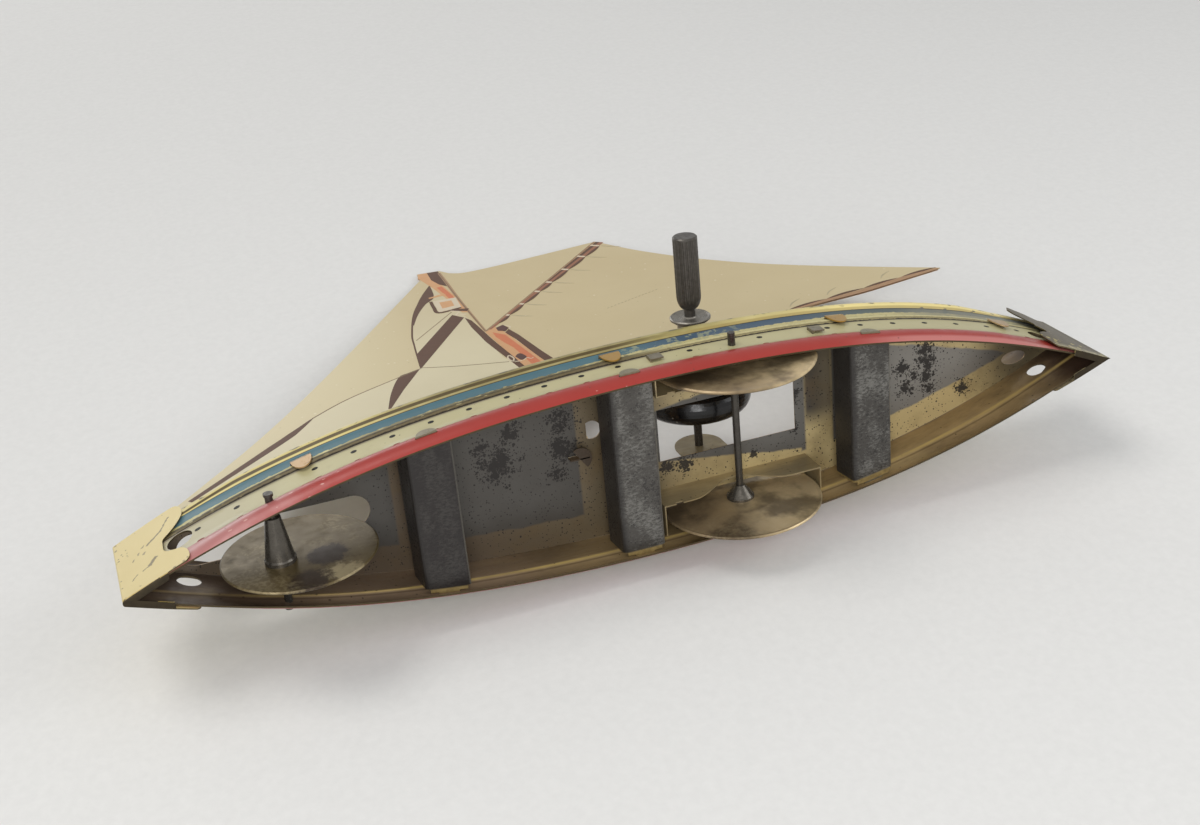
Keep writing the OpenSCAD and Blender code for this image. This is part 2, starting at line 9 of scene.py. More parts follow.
import bmesh
import bpy
from mathutils import Matrix, Vector


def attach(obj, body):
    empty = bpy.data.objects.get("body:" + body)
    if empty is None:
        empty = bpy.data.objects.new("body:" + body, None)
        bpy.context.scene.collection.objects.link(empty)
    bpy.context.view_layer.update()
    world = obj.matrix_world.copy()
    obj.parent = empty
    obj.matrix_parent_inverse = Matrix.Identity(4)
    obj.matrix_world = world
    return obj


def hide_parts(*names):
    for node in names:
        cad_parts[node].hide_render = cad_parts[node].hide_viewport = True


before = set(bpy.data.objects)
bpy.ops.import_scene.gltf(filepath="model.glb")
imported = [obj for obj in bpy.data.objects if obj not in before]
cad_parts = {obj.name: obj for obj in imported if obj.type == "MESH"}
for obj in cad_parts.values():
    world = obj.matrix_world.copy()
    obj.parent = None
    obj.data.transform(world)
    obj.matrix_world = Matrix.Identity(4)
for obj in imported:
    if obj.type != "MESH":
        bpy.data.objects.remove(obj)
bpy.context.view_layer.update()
MM = 0.001

# Camera, fitted to the photograph
CAM_AT = Vector((139.3, 206.4, -370)) * MM
CAM_RIGHT = Vector((-0.9346, -0.0888, -0.3444)).normalized()
CAM_UP = Vector((-0.2204, 0.9045, 0.3650)).normalized()
CAM_BACK = CAM_RIGHT.cross(CAM_UP).normalized()
LENS = 47.85

# Sizes of the hull and of its sheet
HL = 150
EDGE = 13.3
BEAM_HALF = 27.5
LEAN = 0.072
RED_H = 7.9
CREAM_H = 14.6
RAIL_H = 26.3
SHEER = 5.3
BEAD = 1.35
SHEET = 0.5
GOLD_H = 2.4
RAIL_BEAD = 4.3
DECK_H = 19.4
DECK_Z = EDGE + DECK_H
TIN = 0.4
AXLE_R = 1.15
MAIN_AXLE = (-30, 24.6)
FRONT_AXLE = (108.3, 19.2)
# holes in the port and the starboard side, bow and stern: x, z and radius
HAWSE = {1: ((132.8, 26.5, 3.58), (-135.6, 27, 2.88)),
         -1: ((132.8, 28, 3.2), (-135.6, 27, 2.88))}
TAB_X = (96.6, 5, -67.4, -124.2)
TAB_HALF = 3.05
BRACE_X = (64, 4.5, -71.3)
BRACE_HALF = 6.7
BRACE_H = 3.9
BRACKET_X = (-4.6, -55.8)
SAIL_T = 0.4


# Camera and stage

def add(obj):
    bpy.context.scene.collection.objects.link(obj)
    return obj


def make_camera():
    data = bpy.data.cameras.new("camera")
    data.sensor_width = 36
    data.lens = LENS
    data.clip_start = 0.01
    cam = add(bpy.data.objects.new("camera", data))
    turn = Matrix((CAM_RIGHT, CAM_UP, CAM_BACK)).transposed()
    cam.matrix_world = Matrix.Translation(CAM_AT) @ turn.to_4x4()
    bpy.context.scene.camera = cam
    bpy.context.scene.view_settings.view_transform = "Standard"


def make_lights():
    aim = Vector((0, 0, 60)) * MM
    for name, place, size, power, colour in (
            ("key", aim + CAM_RIGHT * -0.8 + CAM_UP * 1.4 + CAM_BACK * 0.8, 1, 11, (1, 0.98, 0.95)),
            ("side", aim + CAM_RIGHT * 0.85 + CAM_UP * 0.45 + CAM_BACK * 0.35, 0.6, 2.2,
             (0.95, 0.97, 1)),
            ("low", aim + CAM_BACK * 1.2 + CAM_UP * -0.1, 0.6, 8, (1, 1, 1)),
            ("top", aim + Vector((0.25, 0.35, 1.1)), 0.7, 2.2, (1, 1, 1))):
        data = bpy.data.lights.new(name, "AREA")
        data.shape = "DISK"
        data.size = size
        data.energy = power
        data.color = colour
        lamp = add(bpy.data.objects.new(name, data))
        lamp.location = place
        lamp.rotation_mode = "QUATERNION"
        lamp.rotation_quaternion = (aim - place).to_track_quat("-Z", "Y")


def make_stage():
    """The table that the toy lies on, at the starboard rail and the mast top."""
    up = Vector((0, 0.169, 1)).normalized()
    reach = 2.5
    corners = [Vector((0, -31.2, 39.3)) * MM + Vector((a * reach, 0, 0)) + up * b * reach
               for a, b in ((-1, -1), (1, -1), (1, 1), (-1, 1))]
    mesh = bpy.data.meshes.new("table")
    mesh.from_pydata(corners, [], [(0, 3, 2, 1)])
    s = Shader("table_paper")
    paper = s.node("BsdfDiffuse", Color=s.mix(s.noise(0.4, 3), (214, 213, 210), (224, 223, 220)))
    # from behind, the table is see-through
    either = s.node("MixShader")
    s.link(s.node("NewGeometry").outputs["Backfacing"], either.inputs[0])
    s.link(paper.outputs[0], either.inputs[1])
    s.link(s.node("BsdfTransparent").outputs[0], either.inputs[2])
    s.link(either.outputs[0], s.out.inputs["Surface"])
    mesh.materials.append(s.mat)
    add(bpy.data.objects.new("table", mesh))


def make_world():
    """A dim light, and a pale backdrop that the camera and shiny metal see."""
    world = bpy.data.worlds.new("studio")
    bpy.context.scene.world = world
    s = Nodes(world)
    both = s.node("MixShader")
    for place, colour, strength in ((1, (0.95, 0.97, 1, 1), 0.42),
                                    (2, (0.82, 0.82, 0.81, 1), 0.85)):
        light = s.node("Background", Strength=strength)
        light.inputs["Color"].default_value = colour
        s.link(light.outputs[0], both.inputs[place])
    rays = s.node("LightPath").outputs
    s.feed(s.most(*(Value(s, rays[kind + " Ray"])
                    for kind in ("Is Camera", "Is Glossy", "Is Transmission"))), both.inputs[0])
    s.link(both.outputs[0], s.node("OutputWorld").inputs[0])


# Colours and materials

def rgb(*levels):
    """A colour from levels of 0 to 255."""
    parts = [level / 255 for level in levels]
    return (*(p / 12.92 if p <= 0.04045 else ((p + 0.055) / 1.055) ** 2.4 for p in parts), 1)


def operation(kind, swapped=False):
    def work(self, other=0):
        return self.shader.math(kind, *((other, self) if swapped else (self, other)))
    return work


class Value:
    """A number or a colour that nodes work out; sums with it add Math nodes."""

    def __init__(self, shader, socket):
        self.shader = shader
        self.socket = socket

    __add__ = operation("ADD")
    __radd__ = operation("ADD", True)
    __sub__ = operation("SUBTRACT")
    __rsub__ = operation("SUBTRACT", True)
    __mul__ = operation("MULTIPLY")
    __truediv__ = operation("DIVIDE")
    __abs__ = operation("ABSOLUTE")

    def ramp(self, low, high, out_low=0, out_high=1):
        """Smooth step from low to high."""
        step = self.shader.node("MapRange", Value=self, From_Min=low, From_Max=high,
                                To_Min=out_low, To_Max=out_high)
        step.interpolation_type = "SMOOTHSTEP"
        return Value(self.shader, step.outputs[0])

    def band(self, low, high, soft):
        """1 between low and high, fading out over soft on both sides."""
        return self.ramp(low - soft, low + soft) * self.ramp(high + soft, high - soft)

    def lay(self, share, colour):
        """Lays another colour over this one, as thickly as share says."""
        self.socket = self.shader.mix(share, self, colour).socket


class Nodes:
    """The nodes of a material or of the world."""

    def __init__(self, owner):
        owner.use_nodes = True
        self.tree = owner.node_tree
        self.tree.nodes.clear()

    def node(self, kind, **values):
        """A new node, its inputs given by name with _ for each space."""
        made = self.tree.nodes.new("ShaderNode" + kind)
        for name, value in values.items():
            self.feed(value, made.inputs[name.replace("_", " ")])
        return made

    def link(self, a, b):
        self.tree.links.new(a, b)

    def feed(self, value, socket):
        if isinstance(value, Value):
            self.link(value.socket, socket)
        else:
            socket.default_value = rgb(*value) if socket.type == "RGBA" else value

    def math(self, kind, a, b=0):
        step = self.node("Math")
        step.operation = kind
        self.feed(a, step.inputs[0])
        self.feed(b, step.inputs[1])
        return Value(self, step.outputs[0])

    def most(self, found, *others):
        """The largest of the values."""
        for other in others:
            found = self.math("MAXIMUM", found, other)
        return found


class Shader(Nodes):
    """A material with patterns in millimetres of the part's frame."""

    def __init__(self, name, rough=0.5, metal=0, coat=0, specular=0.5):
        self.mat = bpy.data.materials.new(name)
        super().__init__(self.mat)
        self.out = self.node("OutputMaterial")
        self.bsdf = self.node("BsdfPrincipled", Roughness=rough, Metallic=metal,
                              Coat_Weight=coat, Coat_Roughness=0.25, Specular_IOR_Level=specular)
        self.link(self.bsdf.outputs[0], self.out.inputs["Surface"])
        scale = self.node("VectorMath")
        scale.operation = "SCALE"
        scale.inputs["Scale"].default_value = 1 / MM
        self.link(self.node("TexCoord").outputs["Object"], scale.inputs[0])
        self.mm = scale.outputs[0]
        self.x, self.y, self.z = self.split(self.mm)

    def split(self, vector):
        parts = self.node("SeparateXYZ")
        self.link(vector, parts.inputs[0])
        return [Value(self, part) for part in parts.outputs]

    def texture(self, kind, stretch, shift, **values):
        """A texture in millimetres; a stretch of one number is along x."""
        if not isinstance(stretch, tuple):
            stretch = (stretch, 1, 1)
        mapping = self.node("Mapping", Scale=stretch, Location=shift)
        self.link(self.mm, mapping.inputs["Vector"])
        made = self.node(kind, **values)
        self.link(mapping.outputs[0], made.inputs["Vector"])
        return made.outputs

    def noise(self, scale, detail=4, rough=0.55, stretch=1, shift=(0, 0, 0)):
        """Cloud noise; scale is in features per millimetre."""
        cloud = self.texture("TexNoise", stretch, shift, Scale=scale, Detail=detail,
                             Roughness=rough)
        return Value(self, cloud["Fac"])

    def sway(self, size, *noise, **place):
        """Cloud noise about zero, size from its lowest to its highest."""
        return (self.noise(*noise, **place) - 0.5) * size

    def stain(self, scale, low, high, shift=(0, 0, 0), stretch=1):
        """Soft clouds; the lower low and high are, the more they cover."""
        return self.noise(scale, 4, 0.6, stretch, shift).ramp(low, high)

    def dots(self, cell, share, shift=(0, 0, 0), stretch=1):
        """Ragged dots: one to a cell of that many millimetres, in that share of the cells."""
        cells = self.texture("TexVoronoi", stretch, shift, Scale=1 / cell)
        chance = self.node("SeparateColor")
        self.link(cells["Color"], chance.inputs[0])
        near = Value(self, cells["Distance"]) + self.sway(0.3, 2.5 / cell, 2)
        chosen = Value(self, chance.outputs[0]) + share - 1
        size = chosen + self.math("GREATER_THAN", chosen, 0) * 0.14
        return (self.math("MINIMUM", size, 0.48) - near).ramp(0, 0.07)

    def mix(self, share, a, b):
        blend = self.node("Mix")
        blend.data_type = "RGBA"
        for place, value in ((0, share), (6, a), (7, b)):
            self.feed(value, blend.inputs[place])
        return Value(self, blend.outputs[2])

    def spot(self, x, y, radius, upright=False):
        """1 at (x, y) in plan, or at (x, z), fading out beyond the radius."""
        dx = self.x - x
        dy = (self.z if upright else self.y) - y
        return self.math("SQRT", dx * dx + dy * dy).ramp(radius * 1.9, radius * 0.2)

    def stroke(self, ax, ah, bx, bh, width):
        """1 along the ragged line from (ax, ah) to (bx, bh), as seen from the side."""
        length = hypot(bx - ax, bh - ah)
        ux, uh = (bx - ax) / length, (bh - ah) / length
        dx, dh = self.x - ax, self.z - (EDGE + ah)
        off = abs(dx * uh - dh * ux + self.sway(1.6, 0.7, 4, 0.75))
        return (dx * ux + dh * uh).band(-0.2, length + 0.2, 0.2) * off.ramp(width * 0.6, width * 0.35)

    def inside(self):
        """Distance in from the hull's side at the deck."""
        u = self.x / HL
        square = u * u
        return (1 - square) * ((1.3164 - square * 0.2 - 1) * square + 1) * (BEAM_HALF + 1.3) - abs(self.y)

    def bands(self):
        """The number of the printed band, and how far up it, as one sum."""
        node = self.node("Attribute")
        node.attribute_type = "GEOMETRY"
        node.attribute_name = "bands"
        return self.split(node.outputs["Vector"])[0]

    def finish(self, colour, rough=None, bump=None, depth=0.02):
        self.feed(colour, self.bsdf.inputs["Base Color"])
        if rough is not None:
            self.feed(rough, self.bsdf.inputs["Roughness"])
        if bump is not None:
            relief = self.node("Bump", Strength=0.6, Distance=depth * MM, Height=bump)
            self.link(relief.outputs[0], self.bsdf.inputs["Normal"])
        return self.mat


def red_look():
    """Red bead with painted pink highlights: low down near the stern, and towards the bow."""
    s = Shader("printed_red", rough=0.4, coat=0.08, specular=0.35)
    across = s.bands()
    tone = s.mix(s.noise(0.12, 3), (146, 44, 37), (155, 53, 45))
    # painted pink highlight along the bead's lower part, aft
    tone.lay(across.ramp(0.3, 0.14) * s.x.ramp(-58, -86) * 0.7, (192, 126, 120))
    # painted pink highlight towards the bow, and a paler painted highlight along the bead's upper middle
    bow_highlight = (s.x + s.noise(0.12) * 34).ramp(108, 142)
    tone.lay(bow_highlight * 0.7, (178, 128, 125))
    tone.lay(bow_highlight * across.band(0.5, 0.72, 0.16) * 0.4, (194, 160, 156))
    chips = s.dots(1.6, 0.1, (31, 0, 5))
    tone.lay(chips * 0.7, (92, 54, 46))
    tone.lay(s.dots(1.3, 0.09, (3, 8, 15), 0.3) * 0.75, (200, 158, 148))
    return s.finish(tone, s.noise(0.5, 3).ramp(0.3, 0.8, 0.3, 0.44), bump=chips)


def cream_look():
    """Cream band: greyer towards the bow, with a few chips and hair scratches."""
    s = Shader("printed_cream", rough=0.42, coat=0.15)
    tone = s.mix(s.noise(0.08), (172, 164, 122), (181, 173, 132))
    tone.lay(s.x.ramp(96, 130) * 0.55, (170, 162, 138))
    tone.lay(s.stain(0.3, 0.56, 0.8, stretch=0.5) * 0.4, (150, 140, 108))
    chips = s.dots(1.5, 0.07, (2, 7, 0))
    tone.lay(chips * 0.8, (92, 86, 66))
    tone.lay(s.dots(2.4, 0.05, (8, 1, 3), 0.16) * 0.5, (128, 116, 84))
    tone.lay(s.bands().ramp(1.9, 1.95) * s.x.ramp(-20, 10, 0.2, 0.7), (116, 104, 92))
    return s.finish(tone, bump=chips)


def gold_line_look():
    """Lower gold line: pale and ragged above, then olive, black at its foot."""
    s = Shader("printed_gold_line", rough=0.4, specular=0.25)
    across = s.bands() + s.sway(0.22, 0.8, 4, 0.7)
    tone = s.mix(s.noise(0.3, 3), (184, 174, 124), (198, 189, 140))
    fore = s.x.ramp(-20, 6)
    olive = s.mix(s.noise(0.5), (66, 57, 34), (90, 80, 52))
    tone.lay(across.ramp(2.95, 2.88) * fore, olive)
    chips = s.dots(0.9, 0.5, (12, 3, 3), 0.55)
    tone.lay(chips * (0.18 + fore * 0.6), (56, 50, 38))
    tone.lay(s.dots(1.1, 0.34, (42, 3, 9), 0.4) * (fore * 0.7), (176, 166, 122))
    tone.lay(across.band(2.12, 2.36, 0.05) * 0.8, (104, 92, 66))
    tone.lay(across.ramp(2.14, 2.08), (44, 38, 30))
    return s.finish(tone, bump=chips)


def blue_look():
    """Blue band: its lower edge is torn, most of all aft, where gold shows."""
    s = Shader("printed_blue", rough=0.42, coat=0.05, specular=0.3)
    across = s.bands()
    tone = s.mix(s.noise(0.2), (62, 96, 106), (76, 110, 120))
    tone.lay(s.x.ramp(6, -20), (62, 82, 100))
    tone.lay(s.x.ramp(60, 125) * 0.4, (100, 126, 132))
    tone.lay(s.x.ramp(-48, -80), (78, 90, 90))
    reach = s.x.ramp(26, -8, 0.16, 0.3) + s.x.ramp(-40, -86, 0, 0.16)
    edge = s.noise(0.7, 5, 0.75, 0.6) * 0.5 + reach
    torn = edge + 2.82 - across
    gold = torn.ramp(0, 0.03)
    under = s.mix(s.noise(0.35, 3), (176, 164, 114), (192, 182, 132))
    under.lay(s.dots(0.9, 0.5, (5, 5, 5), 0.5) * s.x.ramp(-20, 6, 0.2, 0.8), (84, 78, 56))
    under.lay(s.x.ramp(70, 96), (212, 202, 142))
    dull = (s.x.ramp(0, 20) * s.x.ramp(60, 96, 0.7, 0.3)
            * s.stain(0.5, 0.36, 0.5, stretch=0.5))
    under.lay(dull, (80, 72, 48))
    tone.lay(gold, under)
    tone.lay(s.x.band(-36, 0, 5) * s.stain(0.5, 0.52, 0.6, (0, 0, 7)) * 0.7, (146, 150, 122))
    tone.lay(s.x.ramp(-84, -108) * s.stain(0.3, 0.32, 0.55, stretch=0.3) * 0.8, (122, 121, 107))
    tone.lay(s.dots(1.3, 0.12, (1, 2, 3)) * 0.6, (70, 74, 66))
    return s.finish(tone, bump=gold)


def rail_look():
    """Gold rail bead, with an olive stripe and black wear along its crest."""
    s = Shader("printed_rail", rough=0.38, coat=0.05, specular=0.3)
    across = s.bands()
    # tarnish dulls the bead amidships; aft, its lightness is partly a painted highlight
    bright = s.mix(s.x.ramp(50, 90), (140, 128, 84), (204, 188, 122))
    bright.lay(s.x.ramp(4, -16), (150, 138, 86))
    bright.lay(s.x.ramp(-20, -44), (188, 173, 115))
    bright.lay(s.x.ramp(-50, -78), (228, 210, 142))
    bright.lay(s.stain(0.4, 0.4, 0.7, (2, 0, 0), 0.3) * 0.3, (206, 194, 140))
    olive = s.mix(s.noise(0.4), (70, 57, 30), (90, 76, 44))
    stripe = across.band(4.14, 4.36, 0.03)
    bright.lay(across.band(4.02, 4.2, 0.05) * s.x.ramp(-8, -24) * 0.6, (142, 122, 68))
    tone = s.mix(stripe * s.x.ramp(6, -22, 1, 0), bright, olive)
    tone.lay(across.ramp(4.05, 4.02), (58, 50, 34))
    wear = s.stain(0.5, 0.57, 0.62, (8, 0, 0), 0.4)
    crest = wear * across.ramp(4.36, 4.6)
    tone.lay(crest * 0.85, (70, 64, 50))
    tone.lay(s.dots(1.4, 0.3, (3, 3, 0), 0.5) * s.x.ramp(-64, -86) * 0.9, (92, 90, 80))
    return s.finish(tone, bump=crest)


def lacquer(name, fore=(106, 88, 72), aft=(176, 150, 106), rough=0.38, lit_ridge=False, tabs=False):
    """Tarnished gold lacquer on bare sheet, browner forward; painted shade forward, painted light aft."""
    s = Shader(name, rough=rough, metal=0.3, coat=0.1)
    # painted light: darker forward, where the inside is shaded, lighter aft, where it is lit
    tone = s.mix(s.x.ramp(90, -20), fore, aft)
    tone.lay(s.x.ramp(-124, -144), (74, 56, 46))
    tone = s.mix(s.stain(0.05, 0.36, 0.68, stretch=0.4), s.mix(0.5, tone, (52, 38, 26)), tone)
    tone.lay(s.stain(0.1, 0.5, 0.78, (40, 5, 0), 0.25) * 0.4, (182, 160, 110))
    tone.lay(s.noise(0.9, 3, 0.6, 0.05).ramp(0.5, 0.75) * 0.3, (84, 64, 42))
    if lit_ridge:
        # painted light: a lighter patch on the inner wall forward
        tone.lay(s.x.band(38, 104, 10) * s.noise(0.1, 3, 0.6, 0.3), (158, 134, 108))
        across = s.bands()
        # a painted highlight along the inside crease at the red band's top, with a thin dark line below
        # it
        line = across.band(0.95, 1.06, 0.05)
        shine = s.noise(0.05, 2, 0.5, (1, 0, 0)).ramp(0.35, 0.6, 0.55, 1)
        tone.lay(line * shine * s.x.ramp(126, 70, 0.3, 0.85), (208, 180, 110))
        tone.lay(across.band(0.84, 0.9, 0.03) * 0.5, (58, 44, 28))
    if tabs:
        tone.lay(s.inside().ramp(0.5, 0.2), s.mix(s.noise(0.7, 4, 0.7), (86, 78, 62), (126, 118, 98)))
    tone.lay(s.dots(1.5, 0.16, (0, 6, 2)) * 0.7, (52, 40, 28))
    return s.finish(tone, s.noise(0.4).ramp(0.3, 0.8, rough - 0.06, rough + 0.16))


# rust blotches under the deck: x, y and radius
RUST_BLOTS = ((42, 3.4, 5.6), (46, 9, 2.6), (37, 12, 3.4), (22, 3.4, 4.4), (21, 12, 4.4),
              (24, -4, 2.6), (-10, -10.5, 2.6), (-16, -10.5, 3), (-38.5, -13.6, 1.4),
              (-52, 3, 3), (-52, -7, 2.4), (-99, 8, 3.6), (-99, 3.4, 3.6), (-99, -1.3, 3.2),
              (-100, -5.6, 2.4), (-90, 3.4, 3), (-92, -3.6, 3), (-94.5, 0, 2.4),
              (-112.2, -8.4, 2.6))


def rust(s, blots, base=0.05, shift=(0, 0, 0)):
    """Black rust: fine dots everywhere, gathered into dense blotches."""
    sway = s.sway(1.5, 0.28, 3, 0.6, shift=shift) + s.sway(2, 0.9, 5, 0.8, shift=shift)
    ragged = s.most(*blots) + sway
    dense = ragged.ramp(0.12, 0.9)
    fine = s.dots(0.62, base + dense * 0.8, shift)
    return s.most(fine, s.dots(1.3, base * 0.5 + dense * 0.7, shift), ragged.ramp(0.8, 0.88))


def brace_look():
    """Dull braces: near black forward, speckled amidships, frosted aft."""
    s = Shader("speckled_tin", rough=0.42, metal=0.35)
    fore = s.x.ramp(30, 40)
    tone = s.mix(fore, (72, 69, 65), (42, 38, 37))
    tone.lay(s.x.ramp(-30, -40), (64, 61, 57))
    dark = rust(s, [s.stain(0.08, 0.4, 0.66, (3, 60, 1)) * 0.6], 0.4, (3, 60, 11))
    tone.lay(dark * 0.6, (38, 35, 34))
    patch = s.stain(0.13, 0.3, 0.66, (5, 60, 0), (1, 0.6, 1))
    grain = s.noise(1.5, 6, 0.85, 0.5, (60, 0, 0)) + (patch - 0.5) * 0.14
    grain = grain.ramp(0.46, 0.62)
    tone.lay(grain * (patch * 0.45 + 0.4), s.mix(fore, (118, 116, 111), (62, 59, 56)))
    # painted shade along each brace's forward fold, and a painted highlight along its aft edge
    along = s.x
    for place in BRACE_X:
        near = s.x.band(place - 12, place + 12, 1)
        along = along - near * place
    tone.lay(along.ramp(BRACE_HALF - 2.4, BRACE_HALF - 0.6) * 0.8, (40, 37, 35))
    tone.lay(along.ramp(0.9 - BRACE_HALF, 0.2 - BRACE_HALF) * 0.45, (146, 142, 132))
    inside = s.inside()
    tone.lay(inside.band(0, 1.7, 0.3), s.mix(s.noise(0.8, 3), (104, 88, 56), (180, 158, 104)))
    tone.lay(inside.ramp(-0.1, -0.4), s.mix(s.noise(0.6, 3), (112, 104, 84), (138, 131, 108)))
    return s.finish(tone, dark * 0.2 + 0.38, bump=dark)


def deck_look():
    """Speckled tin with a lacquered border below, ochre planks above, ochre tabs."""
    s = Shader("deck_sheet", rough=0.36, metal=0.3)
    # painted light: the grey underside is darker forward, where it is shaded, lighter aft, where lit
    grey = s.mix(s.x.ramp(20, -50), (66, 62, 57), (96, 93, 88))
    grey.lay(s.x.ramp(-60, -100), (132, 128, 121))
    grey.lay(s.noise(0.1) * 0.3, (112, 110, 106))
    inside = s.inside()
    wave = s.sway(2.4, 0.1, 3)
    border = (inside + wave).ramp(9.4, 8.6)
    bay_gold = (abs(s.y) - (s.x * -0.154 + 7.2 + wave)).ramp(-0.4, 0.4)
    strips = [s.x.band(*ends, 0.5) for ends in ((-3, 17.4), (70.4, 73.5), (-66, -56.5))]
    gold_at = s.most(border, s.x.band(-55, -3, 0.5) * bay_gold, *strips)
    # painted light: like the grey, the gold is darker forward and lighter aft
    gold = s.mix(s.x.ramp(60, 10), (92, 80, 66), (106, 94, 74))
    gold.lay(s.x.ramp(2, -30), (196, 176, 128))
    # painted shade on the port part of the aft gold strip, darkest at its forward end
    strip = s.x.band(-66, -56.5, 1)
    gold.lay(strip * s.y.ramp(-12, -2), s.mix(s.x.ramp(-58, -65), (74, 68, 60), (112, 102, 84)))
    gold.lay(s.stain(0.08, 0.4, 0.7, (4, 4, 0)) * 0.4, (104, 84, 54))
    under = s.mix(gold_at, grey, gold)
    under.lay(s.spot(-133, -1, 13) * 0.85, (44, 40, 38))
    specked = rust(s, [s.spot(*blot) for blot in RUST_BLOTS], 0.28)
    under.lay(specked * 0.95, (36, 32, 30))
    ochre = s.mix(s.noise(0.1, 4, 0.6, 0.3), (176, 132, 66), (198, 156, 86))
    ochre.lay(abs(s.math("FRACT", s.y / 4) - 0.5).ramp(0.07, 0.03) * 0.75, (96, 66, 34))
    wear = s.dots(1.8, 0.3, (7, 7, 7))
    ochre.lay(wear * 0.7, (92, 84, 70))
    tab = s.z.ramp(DECK_Z - 0.05, DECK_Z - 0.1) * inside.ramp(1, 0)
    tone = s.mix(s.z.ramp(DECK_Z + 0.25, DECK_Z + 0.3), under, ochre)
    tabs = s.mix(s.x.ramp(40, 60), (160, 124, 56), (170, 138, 94))
    tabs.lay(s.x.ramp(-100, -110), (168, 142, 104))
    tone.lay(tab, s.mix(wear * 0.6, tabs, (120, 96, 60)))
    return s.finish(tone, specked * 0.25 + 0.32, bump=specked, depth=0.012)


def bow_cap_look():
    """Worn cream-yellow lacquer, scratched and chipped along the stem."""
    s = Shader("cap_yellow", rough=0.42, coat=0.1)
    tone = s.mix(s.noise(0.1, 3), (200, 181, 122), (210, 192, 136))
    nicks = ((142.3, 20.3, 0.7), (143.8, 17.9, 0.6), (142.2, 16.4, 0.8), (145.4, 16, 0.6))
    chips = s.most(s.dots(1.6, 0.08, (5, 1, 0)),
                   s.dots(1.3, s.x.ramp(144, 149) * 0.3, (5, 9, 0)),
                   s.dots(1.2, s.z.ramp(EDGE + 3.5, EDGE - 1) * 0.5, (1, 9, 0)),
                   *(s.stroke(x, h, x + 0.5, h - 0.7, size) for x, h, size in nicks))
    tone.lay(chips * 0.8, (126, 112, 80))
    scratch = s.most(*(s.stroke(*line) for line in (
        (134.4, 27, 137.1, 22.4, 0.5), (137.1, 22.4, 141.4, 19.2, 0.8),
        (139.7, 10.6, 141.8, 8.1, 1.3), (141.8, 8.1, 143.6, 7.3, 0.5),
        (145.4, 7.4, 146.8, 5.6, 0.4))))
    tone.lay(scratch * s.y.ramp(0, 0.3) * 0.85, (96, 84, 60))
    # painted highlight in gold along the curled bottom edge
    tone.lay(s.z.ramp(EDGE - 0.4, EDGE - 0.9), (196, 168, 84))
    return s.finish(tone, bump=chips)


def stern_cap_look():
    """Bare dark tin with the last flecks of yellow on its lower lobe; a painted highlight low down."""
    s = Shader("cap_grey", rough=0.42, metal=0.4)
    tone = s.mix(s.noise(0.3, 4, 0.6), (70, 61, 41), (92, 81, 56))
    dark = s.stain(0.5, 0.5, 0.62, (3, 3, 3))
    tone.lay(dark * 0.6, (56, 51, 43))
    tone.lay(s.dots(1.6, 0.1 + s.z.ramp(EDGE + 11, EDGE + 5) * 0.4, (50, 0, 0)) * 0.8, (200, 184, 110))
    # painted highlight over the lowest few millimetres, by the curled bottom edge
    rim = s.z.ramp(EDGE + 3.4, EDGE + 0.4) * s.noise(0.5, 4, 0.7).ramp(0.3, 0.6)
    tone.lay(rim * 0.75, (186, 176, 138))
    tone.lay(s.dots(1.1, 0.2, (5, 20, 0), 0.5) * 0.45, (156, 146, 120))
    return s.finish(tone, bump=dark)


def sail_look():
    """Printed cream, lighter towards the jib's edge as painted light; paler inside that edge."""
    s = Shader("sail_cream", rough=0.45, coat=0.1)
    # painted light: lighter towards the jib, a shade darker towards the top
    tone = s.mix(s.z.ramp(90, 200), (193, 176, 134), (190, 172, 130))
    tone.lay(s.x.ramp(20, 70), (202, 188, 148))
    tone.lay(s.stain(0.03, 0.35, 0.7) * 0.25, (204, 188, 149))
    tone.lay(s.dots(2.2, 0.09, (4, 0, 4)) * 0.6, (218, 208, 182))
    tone.lay(s.dots(1.5, 0.06, (14, 0, 24)) * 0.5, (150, 128, 94))
    tone.lay(s.z.ramp(EDGE + 19.7, EDGE + 19.3), (92, 74, 52))
    return s.finish(tone)


def ink(name, dark, light):
    """A printed flat colour with the unevenness of worn ink."""
    s = Shader(name, rough=0.45, specular=0.2)
    return s.finish(s.mix(s.noise(0.4, 4, 0.6), dark, light))


def staysail_look():
    s = Shader("staysail_print", rough=0.45, coat=0.1)
    # painted light: lighter low down, darker towards the top
    tone = s.mix(s.z.ramp(EDGE + 170, EDGE + 105), (194, 180, 143), (206, 195, 161))
    return s.finish(s.mix(s.stain(0.05, 0.4, 0.8) * 0.3, tone, (191, 179, 143)))


